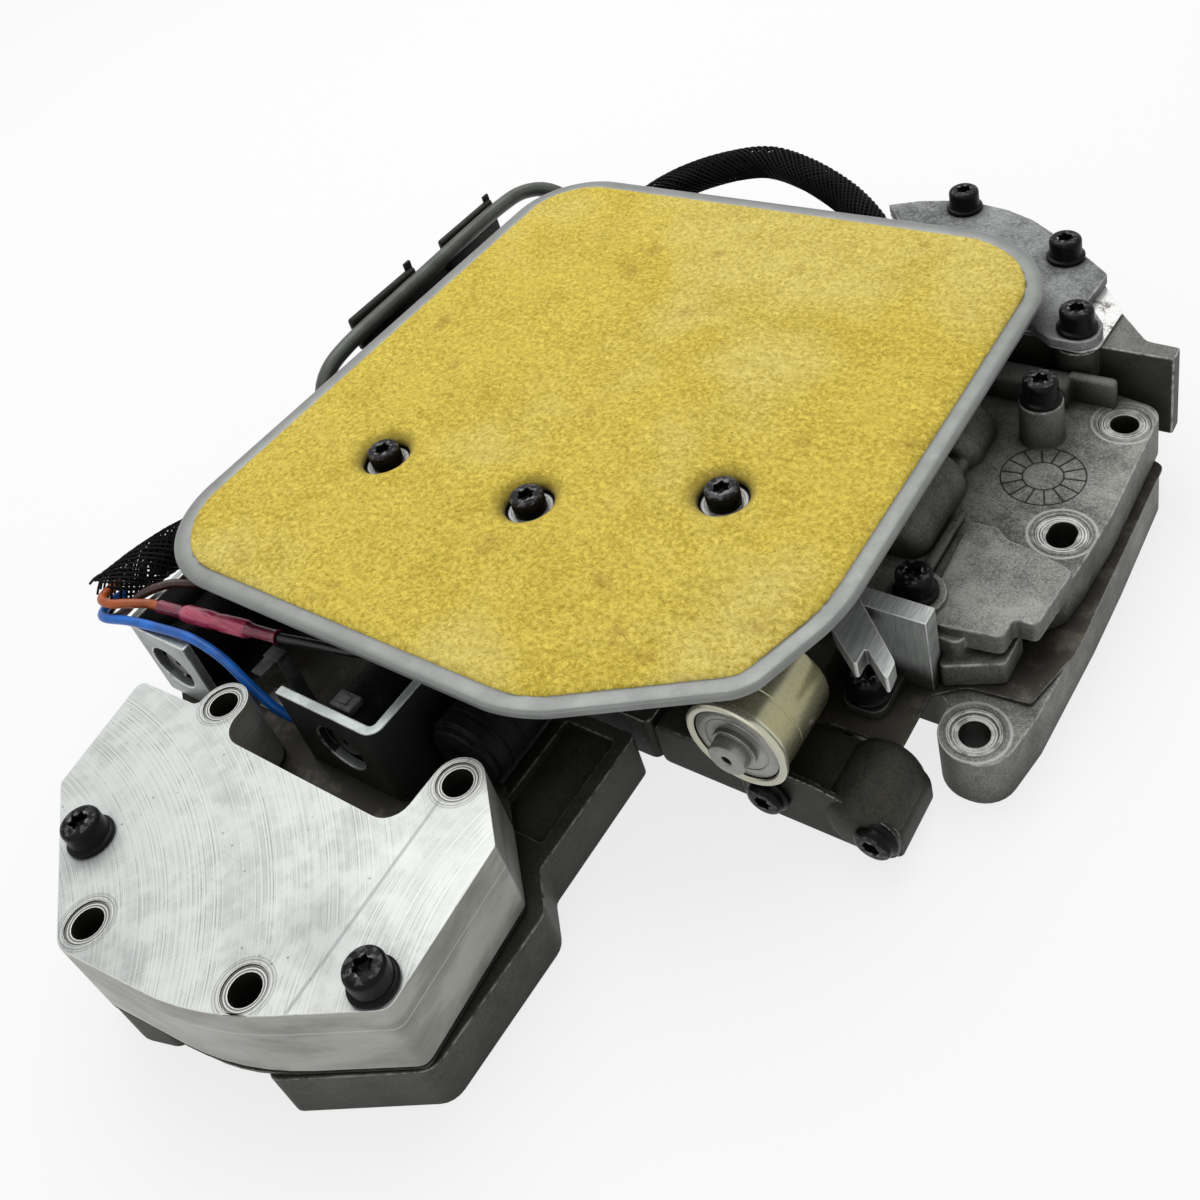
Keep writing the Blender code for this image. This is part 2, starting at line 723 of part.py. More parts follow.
def build_accumulator():
    """Cup piston that slides in the cover block, and its coil spring."""
    x, y = PISTON_CENTRE
    low = COVER_BLOCK_BOTTOM + 1.0
    high = low + PISTON_HEIGHT
    inner = PISTON_RADIUS - PISTON_WALL
    piston = turned("accumulator_piston", [
        (0, low + PISTON_WALL), (inner, low + PISTON_WALL), (inner, high), (PISTON_RADIUS, high),
        (PISTON_RADIUS, low), (0, low)])
    piston.location = place(x, y, 0)
    settle(piston)
    give(piston, "piston_aluminium", (0.6, 0.6, 0.58), 0.35, 0.9)

    bottom = low + PISTON_WALL + SEAT_GAP + SPRING_WIRE
    top = COVER_BLOCK_BOTTOM + ACCUMULATOR_DEPTH - SEAT_GAP - SPRING_WIRE
    steps = SPRING_TURNS * 12
    coil = bpy.data.curves.new("accumulator_spring", "CURVE")
    coil.dimensions = "3D"
    coil.bevel_depth = SPRING_WIRE * MM
    coil.bevel_resolution = 1
    coil.use_fill_caps = True
    spline = coil.splines.new("POLY")
    spline.points.add(steps)
    for step, point in enumerate(spline.points):
        turn = 2 * math.pi * step / 12
        height = bottom + (top - bottom) * step / steps
        point.co = (*place(x + SPRING_RADIUS * math.cos(turn), y + SPRING_RADIUS * math.sin(turn),
                           height), 1)
    spring = curve_to_mesh(new_object("accumulator_spring", coil))
    give(spring, "spring_steel", **VALVE_STEEL)


# Base castings under the separator plate

def accumulator_corners():
    lobe = BLOCK_BOLTS[2]
    lobe_left = lobe[0] - LOBE_RADIUS
    return [(31.9, -61.8, 3), (62.0, -91.6, 4), (77.0, -94.2, 9), (88.0, -91.0, 4), (96.0, -76.0, 4),
            (122.0, -76.0, 4), (129.5, -87.6, 3), (166.6, -66.0, 7), (167.4, -21.0, 6),
            (ARM_RIGHT_X, -11.6, 3), (ARM_RIGHT_X, ARM_BACK_Y, 2), (ARM_LEFT_X, ARM_BACK_Y, 2),
            (ARM_LEFT_X, -29.0, 5),
            (lobe[0] + LOBE_RADIUS, -29.0, 6), (lobe[0] + LOBE_RADIUS, lobe[1] + LOBE_RADIUS, 7.5),
            (lobe_left, lobe[1] + LOBE_RADIUS, 7.5), (lobe_left, -25.6, 2), (24.4, -26.7, 2)]


def build_accumulator_housing():
    bolts = [circle(x, y, BOLT_HOLE_RADIUS) for x, y in BLOCK_BOLTS]
    made = slab("accumulator_housing", rounded(accumulator_corners()), 0, BASE_HEIGHT, bolts)
    left = ARM_LEFT_X + ARM_LIP
    right = ARM_RIGHT_X - ARM_LIP
    back = ARM_BACK_Y - ARM_LIP
    inside = rounded([(left, -5.0, 1), (right, -5.0, 1), (right, back, 1), (left, back, 1)])
    channel = slab("arm_channel", inside,
                   BASE_HEIGHT - ARM_CHANNEL_DEPTH, BASE_HEIGHT + 5, group=CUTTERS)
    cut(made, channel)
    give(made, "accumulator_casting", (0.25, 0.25, 0.235), 0.55, 0.85)


def base_bolts():
    return [circle(*BODY_BOLT, BOLT_HOLE_RADIUS), circle(*SLOT_BOLT, BOLT_HOLE_RADIUS + 0.6)]


def transfer_corners():
    right = RIGHT_END
    boss_x, boss_y = BOSS_BOLT
    return [(boss_x - BOSS_RADIUS, boss_y - BOSS_RADIUS, BOSS_RADIUS),
            (boss_x + BOSS_RADIUS, boss_y - BOSS_RADIUS, BOSS_RADIUS),
            (right - 2.3, 86.0, 10), (right - 0.6, 125.0, 60), (right - 0.4, 150.0, 60),
            (right - 1.0, 192.4, 4),
            (216.0, 197.0, 2),
            (216.0, 84.0, 2), (230.0, 84.0, 3), (boss_x - BOSS_RADIUS, 80.0, 3)]


def build_transfer_plate():
    """Transfer plate with the machined boss at its front corner."""
    holes = [*base_bolts(), circle(*BOSS_BOLT, BOLT_HOLE_RADIUS)]
    made = slab("transfer_plate", rounded(transfer_corners()), 0, BASE_HEIGHT, holes)
    cut(made, spotface(*BOSS_BOLT, BASE_HEIGHT, 6.6, 0.8))
    give(made, "transfer_aluminium", (0.5, 0.51, 0.5), 0.4, 0.9)


def build_upper_housing():
    """Main casting under the filter, between the other base castings."""
    corners = [(3.0, -6.0, 4), (127.5, -6.0, 2), (127.5, 40.0, 3), (160.0, 40.0, 3), (160.0, 62.0, 3),
               (215.2, 62.0, 3), (215.2, 204.0, 3), (226.0, 210.0, 4), (226.0, 236.0, 10),
               (200.0, 258.0, 10), (140.0, 258.0, 10), (120.0, 226.0, 6), (3.0, 226.0, 8)]
    made = slab("upper_housing", rounded(corners), 0, BASE_HEIGHT)
    give(made, "upper_casting", **CAST)


def build_bore_end():
    """Dark cast end of the bores, its bent sheet cover and two screws."""
    left = BORE_END_LEFT_X
    right = BORE_END_RIGHT_X
    top = BASE_HEIGHT
    radius = min(8.5, top * 0.48)
    profile = rounded([(left, 0, 2), (right, 0, 4), (right, top, radius), (left, top, 3)])
    made = wall_slab("bore_housing", profile, BORE_END_FRONT_Y + END_COVER_SHEET + SEAT_GAP,
                     BORE_END_BACK_Y)
    pits = []
    for x, z in END_COVER_SCREWS:
        pits.append(cylinder("end_screw_pit", (x, BORE_END_FRONT_Y, z), (0, 1, 0), SCREW_HOLE_RADIUS,
                             END_SCREW_SHANK + END_COVER_SHEET + 2))
    give(cut(made, *pits), "bore_casting", **DARK_CAST)

    corner = min(7.5, top * 0.42)
    sheet = rounded([(191.0, 0.6, corner * 0.66), (right, 0.6, corner), (right, top - 0.6, corner - 0.5),
                     (214.0, top + 4.6, 10), (198.0, top + 5.0, 5), (191.0, top - 2.0, corner * 0.66)])
    holes = [circle(x, z, SCREW_HOLE_RADIUS) for x, z in END_COVER_SCREWS]
    cover = wall_slab("end_cover", sheet, BORE_END_FRONT_Y, BORE_END_FRONT_Y + END_COVER_SHEET, holes)
    give(cover, "cover_sheet", (0.2, 0.2, 0.19), 0.45, 0.8)

    mesh = screw_mesh("end_cover_screw", flanged_profile(END_SCREW_SHANK, END_HEAD_HEIGHT),
                      FLANGE_HEIGHT + END_HEAD_HEIGHT)
    for index, (x, z) in enumerate(END_COVER_SCREWS, 1):
        screw = put_screw(f"end_cover_screw_{index}", mesh, x, BORE_END_FRONT_Y - SEAT_GAP, z,
                          (0, -1, 0))
        give(screw, "end_screw_steel", **BLACK_STEEL)


# Separator plate

def build_separator():
    """One steel plate between the base castings and the housings above."""
    corners = [(3.6, -10.0, 2), (23.0, -24.0, 2), (31.9, -61.6, 3), (75.5, -94.0, 7), (124.4, -89.3, 60),
               (165.5, -66.0, 3.5), (162.2, -22.7, 2), (134.2, 4.8, 7.2), (128.0, 4.8, 0),
               (128.0, 42.0, 2), (206.5, 60.6, 0), (230.2, 60.6, 1),
               (230.2, 80.0, 2), (238.0, 86.6, 8), (256.0, 88.0, 1), (RIGHT_END, 110.0, 20),
               (RIGHT_END, 190.4, 3), (226.5, 208.0, 3), (226.5, 236.0, 10), (200.0, 257.0, 10),
               (140.0, 257.0, 10), (120.0, 226.0, 6), (3.6, 226.0, 8)]
    holes = [circle(x, y, BOLT_HOLE_RADIUS) for x, y in BLOCK_BOLTS]
    holes.extend(base_bolts())
    made = slab("separator_plate", rounded(corners), SEPARATOR_BOTTOM, SEPARATOR_TOP, holes)
    give(made, "separator_steel", **STEEL)


# Lower housing

def lower_corners():
    edge = HOUSING_EDGE_X
    lug = CAN_FRONT_Y + CAN_LENGTH + SEAT_GAP
    return [(HOUSING_LEFT_X, 54.0, 5), (150.0, 54.0, 4), (176.0, 76.0, 5), (184.0, lug, 2),
            (203.5, lug, 2), (203.5, LOWER_FRONT_Y, 3), (236.0, LOWER_FRONT_Y, 3), (240.0, 100.0, 3),
            (edge - 3.0, 118.0, 3), (edge - 1.5, 128.0, 3), (edge, 150.0, 10), (edge, 199.5, 7),
            (236.0, LOWER_BACK_Y, 4), (HOUSING_LEFT_X, LOWER_BACK_Y, 6)]


def pad_corners():
    return [(224.0, 89.6, 2), (247.2, 92.6, 2.5), (247.6, 99.8, 1.2), (254.0, 100.0, 2),
            (256.4, 122.2, 3), (245.0, 125.5, 6), (235.0, 127.4, 4), (231.0, 131.0, 3),
            (222.6, 130.4, 2), (223.6, 106.0, 4)]


def barrel(y, end, name):
    """Round barrel with a domed end that holds one valve bore."""
    start = BARREL_START_X
    dome = 5.0
    length = end - start
    made = turned(name, [(0, length), (BARREL_RADIUS - dome, length), (BARREL_RADIUS - 1.4, length - 1.6),
                         (BARREL_RADIUS, length - dome), (BARREL_RADIUS, 0), (0, 0)], CUTTERS)
    made.location = place(start, y, BARREL_AXIS_HEIGHT)
    made.rotation_euler.y = math.pi / 2
    return settle(made)


def bore(y, end, name):
    start = BARREL_START_X - BORE_LEAD
    return cylinder(name, (start, y, BARREL_AXIS_HEIGHT), (1, 0, 0), BORE_RADIUS,
                    end - start - BORE_FLOOR)


def build_lower_housing():
    """Main valve casting, with posts for the filter and two bore barrels."""
    holes = [circle(*BODY_BOLT, BOLT_HOLE_RADIUS),
             slot_outline(*SLOT_BOLT, BOLT_HOLE_RADIUS - 0.2, SLOT_LENGTH),
             circle(*NECK_CENTRE, NECK_RADIUS - NECK_WALL - 2)]
    made = slab("lower_housing", rounded(lower_corners()), HOUSING_BOTTOM, LOWER_TOP, holes)
    adds = [slab("pad", rounded(pad_corners()), LOWER_TOP + PAD_RISE - PAD_THICKNESS,
                 LOWER_TOP + PAD_RISE, group=CUTTERS),
            slab("nose", rounded([(CLAMP_RIGHT_X + SEAT_GAP, 83.6, 1.5), (248.0, 91.6, 2), (248.0, 104.0, 0),
                                   (CLAMP_RIGHT_X + SEAT_GAP, 104.0, 0)]),
                 HOUSING_BOTTOM + 0.02, HOUSING_BOTTOM + NOSE_RISE, group=CUTTERS),
            cylinder("tall_boss", (*TALL_SCREW, HOUSING_BOTTOM + 2), (0, 0, 1), TALL_BOSS_RADIUS,
                     LOWER_TOP - HOUSING_BOTTOM - 2 + TALL_BOSS_HEIGHT, CUTTERS, 0.6),
            cylinder("low_boss", (*LOW_SCREW, HOUSING_BOTTOM + 2.2), (0, 0, 1), LOW_BOSS_RADIUS,
                     LOWER_TOP - HOUSING_BOTTOM - 2.2 + LOW_BOSS_HEIGHT),
            barrel(MANUAL_BORE_Y, MANUAL_BARREL_END_X, "manual_barrel"),
            barrel(SHIFT_BORE_Y, SHIFT_BARREL_END_X, "shift_barrel")]
    for index, (x, y) in enumerate(FILTER_SCREWS):
        start = HOUSING_BOTTOM + 2.4 + index * 0.1
        adds.append(cylinder(f"post_{index}", (x, y, start), (0, 0, 1), POST_RADIUS + 1,
                             FILTER_BOTTOM - SEAT_GAP - start, CUTTERS, 1.0))
    join(made, *adds)
    pit = SHANK_LENGTH + 1
    cuts = [screw_pit(*TALL_SCREW, LOWER_TOP + TALL_BOSS_HEIGHT, pit),
            screw_pit(*LOW_SCREW, LOWER_TOP + LOW_BOSS_HEIGHT, pit),
            bore(MANUAL_BORE_Y, MANUAL_BARREL_END_X, "manual_bore"),
            bore(SHIFT_BORE_Y, SHIFT_BARREL_END_X, "shift_bore"),
            spotface(*BODY_BOLT, LOWER_TOP), spotface(*SLOT_BOLT, LOWER_TOP)]
    cuts.extend(screw_pit(x, y, FILTER_BOTTOM - SEAT_GAP, pit) for x, y in FILTER_SCREWS)
    give(cut(made, *cuts), "lower_casting", **CAST)


def build_rear_housing():
    """Rear casting with a flange that ends in a block at the right."""
    right = FLANGE_END_X
    front = FLANGE_FRONT_Y
    corners = [(REAR_LEFT_X, front, 3), (right, front, 0.8), (right, front + FLANGE_END_WIDTH, 0.8),
               (right - 10.6, front + FLANGE_END_WIDTH + 0.6, 4), (*rear_point(7.87, 15.57), 4),
               (*rear_point(23.33, 8.14), 6), (*rear_point(46.1, -1.33), 12), (*rear_point(76.5, -0.58), 25),
               (*rear_point(108.2, -1.36), 8), (*rear_point(123.3, -2.14), 2), (REAR_LEFT_X, 236.0, 12)]
    made = slab("rear_housing", rounded(corners), HOUSING_BOTTOM, REAR_TOP)
    ear = cylinder("rear_ear", (*REAR_SCREWS[2], REAR_TOP - 11), (0, 0, 1), 7.4, 10.96)
    join(made, ear)
    pits = [screw_pit(sx, sy, REAR_TOP, SHANK_LENGTH - 3) for sx, sy in REAR_SCREWS]
    give(cut(made, *pits), "rear_casting", **CAST)


def rear_plate_corners(right_side, outside):
    """Outline of a plate on the rear housing: a front edge, its right side and an arc round the back."""
    arc = [(*rear_point(degrees, outside), 0) for degrees in (50, 62, 74, 86, 98, 110, 122)]
    return [(REAR_LEFT_X, FLANGE_FRONT_Y + 1, 2), *right_side, *arc, (REAR_LEFT_X, 236.0, 6)]


def build_rear_cover():
    """Cast rear cover, and the bright steel shim plate that shows beyond it."""
    ear_x, ear_y = REAR_SCREWS[2]
    holes = [circle(x, y, SCREW_HOLE_RADIUS) for x, y in REAR_SCREWS]
    shim = [(ear_x - 15.0, ear_y - 0.6, 3), (ear_x - 7.0, ear_y - 6.0, 4), (ear_x + 3.4, ear_y - 6.7, 3),
            (ear_x + 7.9, ear_y - 2.6, 3), (*rear_point(7.39, 15.49), 1), (*rear_point(22.1, 8.23), 2),
            (*rear_point(31.2, 4.66), 2)]
    plate = slab("shim_plate", rounded(rear_plate_corners(shim, -0.5)), SHIM_BOTTOM,
                 SHIM_TOP, holes)
    give(plate, "shim_steel", (0.75, 0.75, 0.74), 0.2, 1.0)
    ear = [(ear_x - 17.0, FLANGE_FRONT_Y + 1, 6), (ear_x - 7.0, ear_y - 7.2, 6),
           (ear_x + 7.2, ear_y - 7.2, 6.5), (ear_x + 7.2, ear_y + 4.4, 5), (*rear_point(6.62, 4.7), 2),
           (*rear_point(20.6, 9.92), 3), (*rear_point(29.75, 5.27), 2)]
    cover = slab("rear_cover", rounded(rear_plate_corners(ear, 0)), REAR_COVER_BOTTOM,
                 REAR_COVER_TOP, holes)
    give(cover, "rear_cover_casting", (0.42, 0.42, 0.41), 0.5, 0.85)


def build_flanged_screws():
    top = FLANGE_HEIGHT + FLANGED_HEAD_HEIGHT
    mesh = screw_mesh("flanged_screw", flanged_profile(SHANK_LENGTH), top)
    seats = {"cover_screw_left": (*BLOCK_SCREWS[0], COVER_BLOCK_TOP),
             "cover_screw_right": (*BLOCK_SCREWS[1], COVER_BLOCK_TOP),
             "rear_cover_screw_1": (*REAR_SCREWS[0], REAR_COVER_TOP),
             "rear_cover_screw_2": (*REAR_SCREWS[1], REAR_COVER_TOP),
             "rear_cover_screw_3": (*REAR_SCREWS[2], REAR_COVER_TOP),
             "housing_screw_rear": (*TALL_SCREW, LOWER_TOP + TALL_BOSS_HEIGHT),
             "housing_screw_front": (*LOW_SCREW, LOWER_TOP + LOW_BOSS_HEIGHT)}
    for name, (x, y, seat) in seats.items():
        give(put_screw(name, mesh, x, y, seat + SEAT_GAP), "flanged_screw_steel", **BLACK_STEEL)


# Valves

def valve_profile(length, lands):
    """Spool with round lands on a thinner stem, drawn from its far end down to its near end."""
    radius = BORE_RADIUS - SLIDING_GAP
    pitch = (length - LAND_LENGTH) / (lands - 1)
    profile = [(0, length)]
    for land in reversed(range(lands)):
        low = land * pitch
        profile.extend([(radius, low + LAND_LENGTH), (radius, low)])
        if land:
            profile.extend([(STEM_RADIUS, low), (STEM_RADIUS, low - pitch + LAND_LENGTH)])
    profile.append((0, 0))
    return profile


def build_valve(name, y, length, lands, start):
    made = turned(name, valve_profile(length, lands))
    made.location = place(start, y, BARREL_AXIS_HEIGHT)
    made.rotation_euler.y = math.pi / 2
    settle(made)
    give(made, name + "_steel", **VALVE_STEEL)


def build_valves():
    build_valve("manual_valve", MANUAL_BORE_Y, MANUAL_VALVE_LENGTH, 4,
                MANUAL_BARREL_END_X - BORE_FLOOR - MANUAL_VALVE_LENGTH - MANUAL_VALVE_TRAVEL - 1)
    build_valve("shift_valve", SHIFT_BORE_Y, SHIFT_VALVE_LENGTH, 3,
                SHIFT_BARREL_END_X - BORE_FLOOR - SHIFT_VALVE_LENGTH - SHIFT_VALVE_TRAVEL - 1)


# Solenoids

def strap_outline(left, right, front, back, open_side):
    """U of bent strap seen from above."""
    bend = 4.5
    inner = bend - STRAP
    if open_side == "right":
        corners = [(right, front, 0), (right, front + STRAP, 0), (left + STRAP, front + STRAP, inner),
                   (left + STRAP, back - STRAP, inner), (right, back - STRAP, 0), (right, back, 0),
                   (left, back, bend), (left, front, bend)]
    else:
        corners = [(left, front, 0), (right, front, bend), (right, back, bend), (left, back, 0),
                   (left, back - STRAP, 0), (right - STRAP, back - STRAP, inner),
                   (right - STRAP, front + STRAP, inner), (left, front + STRAP, 0)]
    return rounded(corners)


def solenoid_coil_radius(frame):
    left, right = frame[:2]
    return min(right - left, FRAME_TOP - HOUSING_BOTTOM) / 2 - STRAP - COIL_GAP


def build_solenoid(side, frame, open_side):
    """Strap frame, coil and sliding plunger of one solenoid."""
    left, right, front, back = frame
    axis_x = (left + right) / 2
    axis_z = (HOUSING_BOTTOM + FRAME_TOP) / 2
    made = slab(f"solenoid_frame_{side}", strap_outline(left, right, front, back, open_side),
                HOUSING_BOTTOM, FRAME_TOP)
    hole = cylinder("pole_hole", (axis_x, front - 1, axis_z), (0, 1, 0), POLE_HOLE_RADIUS, STRAP + 2)
    give(cut(made, hole), f"zinc_{side}", **ZINC)

    coil_radius = solenoid_coil_radius(frame)
    coil_front = front + STRAP + COIL_GAP
    coil_length = back - front - 2 * STRAP - 2 * COIL_GAP
    coil = turned(f"solenoid_coil_{side}", [
        (BOBBIN_RADIUS, coil_length), (coil_radius, coil_length), (coil_radius, coil_length - 2.0),
        (coil_radius - 1.2, coil_length - 2.0), (coil_radius - 1.2, 2.0), (coil_radius, 2.0),
        (coil_radius, 0), (BOBBIN_RADIUS, 0), (BOBBIN_RADIUS, coil_length)])
    coil.location = place(axis_x, coil_front, axis_z)
    coil.rotation_euler.x = -math.pi / 2
    settle(coil)
    give(coil, f"coil_{side}", **BLACK_PLASTIC)

    start = front + PLUNGER_SET_BACK
    plunger = turned(f"solenoid_plunger_{side}", [
        (0, PLUNGER_LENGTH), (PLUNGER_RADIUS, PLUNGER_LENGTH), (PLUNGER_RADIUS, 0.6),
        (PLUNGER_RADIUS - 0.6, 0), (1.0, 0), (1.0, 2.0), (0, 2.0)])
    plunger.location = place(axis_x, start, axis_z)
    plunger.rotation_euler.x = -math.pi / 2
    settle(plunger)
    give(plunger, f"plunger_{side}_steel", **VALVE_STEEL)


def build_pressure_solenoid():
    """Turned can with a rolled rim, its end disc with a stepped nozzle, and the spool inside."""
    x, z = CAN_CENTRE
    inner = CAN_RADIUS - CAN_WALL
    can = turned("pressure_solenoid_can", [
        (inner, 1.4), (CAN_RADIUS + CAN_RIM, 1.4), (CAN_RADIUS + CAN_RIM, 3.4), (CAN_RADIUS, 4.6),
        (CAN_RADIUS, CAN_LENGTH - 2), (CAN_RADIUS - 2, CAN_LENGTH), (SPOOL_RADIUS + SLIDING_GAP, CAN_LENGTH),
        (SPOOL_RADIUS + SLIDING_GAP, CAN_LENGTH - CAN_FLOOR), (inner, CAN_LENGTH - CAN_FLOOR),
        (inner, 1.4)][::-1])
    can.location = place(x, CAN_FRONT_Y, z)
    can.rotation_euler.x = -math.pi / 2
    settle(can)
    give(can, "can_chromate", (0.55, 0.5, 0.3), 0.35, 0.9)

    disc = inner - SEAT_GAP
    end = turned("pressure_solenoid_end", [
        (NOZZLE_BORE, 8.0), (disc, 8.0), (disc, 2.2), (NOZZLE_STEP_RADIUS, 2.2),
        (NOZZLE_STEP_RADIUS, 0.4), (NOZZLE_RADIUS, 0.4), (NOZZLE_RADIUS, 2.2 - NOZZLE_LENGTH),
        (NOZZLE_BORE, 2.2 - NOZZLE_LENGTH), (NOZZLE_BORE, 8.0)])
    end.location = place(x, CAN_FRONT_Y, z)
    end.rotation_euler.x = -math.pi / 2
    settle(end)
    give(end, "can_end_steel", (0.5, 0.5, 0.48), 0.3, 0.95)

    spool = turned("pressure_spool", [
        (0, SPOOL_LENGTH), (SPOOL_RADIUS, SPOOL_LENGTH), (SPOOL_RADIUS, SPOOL_LENGTH - SPOOL_LAND),
        (SPOOL_STEM_RADIUS, SPOOL_LENGTH - SPOOL_LAND), (SPOOL_STEM_RADIUS, 0), (0, 0)])
    spool.location = place(x, CAN_FRONT_Y + CAN_LENGTH - 0.5 - SPOOL_TRAVEL - SPOOL_LENGTH, z)
    spool.rotation_euler.x = -math.pi / 2
    settle(spool)
    give(spool, "pressure_spool_steel", **VALVE_STEEL)


def build_round_solenoid():
    x, z = ROUND_CENTRE
    length = ROUND_LENGTH
    made = turned("lockup_solenoid", [
        (0, length), (ROUND_RADIUS - 1, length), (ROUND_RADIUS, length - 1), (ROUND_RADIUS, 2.4),
        (ROUND_RADIUS - 1.4, 2.4), (ROUND_RADIUS - 1.4, 0), (4.0, 0), (4.0, 1.6), (0, 1.6)])
    made.location = place(x, ROUND_FRONT_Y, z)
    made.rotation_euler.x = -math.pi / 2
    settle(made)
    give(made, "round_solenoid_plastic", **BLACK_PLASTIC)


def build_clamp():
    """Milled clamp block: a hooked top plate, a tall back wall and a foot with its screw."""
    wall_y = CLAMP_WALL_FRONT_Y
    outline = [(207.3, wall_y + 1, 0), (207.6, 71.1, 0.8), (220.1, 61.2, 0.8), (219.9, 68.1, 0.6),
               (229.6, 60.1, 0.6), (229.0, 66.6, 2.0), (211.3, wall_y + 1, 0)]
    made = slab("clamp_block", rounded(outline), CLAMP_TOP - CLAMP_PLATE, CLAMP_TOP)
    back = slab("clamp_wall", box_outline(207.8, CLAMP_RIGHT_X, wall_y, wall_y + CLAMP_WALL_DEPTH),
                HOUSING_BOTTOM, CLAMP_TOP - 0.8, group=CUTTERS)
    x, y = CLAMP_SCREW
    side = FLANGE_RADIUS + SEAT_GAP
    foot = slab("clamp_foot", rounded([(x - side, y - side, 4), (x + side, y - side, 4),
                                       (x + side, wall_y + 1, 0), (x - side, wall_y + 1, 0)]),
                HOUSING_BOTTOM, HOUSING_BOTTOM + CLAMP_FOOT_HEIGHT, group=CUTTERS)
    join(made, back, foot)
    cut(made, screw_pit(x, y, HOUSING_BOTTOM + CLAMP_FOOT_HEIGHT, CLAMP_FOOT_HEIGHT + 1))
    give(made, "clamp_aluminium", **MILLED)

    mesh = screw_mesh("clamp_screw", flanged_profile(CLAMP_SHANK), FLANGE_HEIGHT + FLANGED_HEAD_HEIGHT)
    screw = put_screw("clamp_screw", mesh, x, y, HOUSING_BOTTOM + CLAMP_FOOT_HEIGHT + SEAT_GAP)
    give(screw, "clamp_screw_steel", **BLACK_STEEL)

    bend = 207.3 - SEAT_GAP
    sheet = CLIP_SHEET
    clip = slab("retaining_clip", [(bend - sheet, 80.0), (bend - sheet, 67.6), (202.6, 62.8),
                                   (203.2, 62.2), (bend, 67.2), (bend, 80.0)], LOWER_TOP + 1.0, 46.5)
    give(clip, "clip_steel", **ZINC)


def build_oil_tube():
    """Bent steel tube round the filter's left side, and the sheet brace beside it."""
    wall = HOUSING_LEFT_X - SEAT_GAP
    level = (HOUSING_BOTTOM + LOWER_TOP) / 2
    back = LOWER_BACK_Y + SEAT_GAP
    side = TUBE_X
    route = [(wall, 97, level), (18, 97, level), (2, 95, level + 3), (-11, 93, 38), (side + 2, 95, 47),
             (side, 103, 56), (side, 118, 60), (side, 150, 61), (side, 190, 62), (side, 214, 62),
             (side + 2, 228, 61), (side + 9, 237, 57), (4, 239, 48), (18, 235, 38), (32, 226, 30),
             (38, 216, level), (39, back, level)]
    tube_part = tube("oil_tube", route, TUBE_RADIUS, 9.0)
    give(tube_part, "tube_steel", (0.16, 0.16, 0.16), 0.35, 0.9)

    outer = TUBE_X - TUBE_RADIUS - SEAT_GAP - BRACE_SHEET
    foot = level + 4
    profile = [(outer, BRACE_TOP), (outer, foot), (wall, foot), (wall, foot + BRACE_SHEET),
               (outer + BRACE_SHEET, foot + BRACE_SHEET), (outer + BRACE_SHEET, BRACE_TOP)]
    brace = wall_slab("tube_brace", profile, BRACE_FRONT_Y, BRACE_BACK_Y)
    gap = block("brace_gap", (outer - 5, BRACE_GAP_FRONT_Y, BRACE_TOP - 9),
                (outer + 4, BRACE_GAP_BACK_Y, BRACE_TOP + 5), CUTTERS)
    give(cut(brace, gap), "brace_steel", (0.1, 0.1, 0.1), 0.4, 0.85)


def build_harness():
    """Braided cable sleeve that arches out behind the filter."""
    low = LOWER_TOP + SEAT_GAP + HARNESS_RADIUS
    route = [(40, 186, low), (36, 200, low), (33, 212, low + 3), (33, 224, 47), (36, 236, 53),
             (43, 247, 57), (55, 257, 60.5), (71, 264, 63.5), (86, 266, 65), (104, 262, 64), (122, 255, 61),
             (135, 247, 58), (144, 239, 54), (149, 228, 48), (150, 215, 43), (148, 201, low),
             (147, 186, low)]
    give(tube("harness_sleeve", route, HARNESS_RADIUS, 10.0), "braid", **BLACK_PLASTIC)


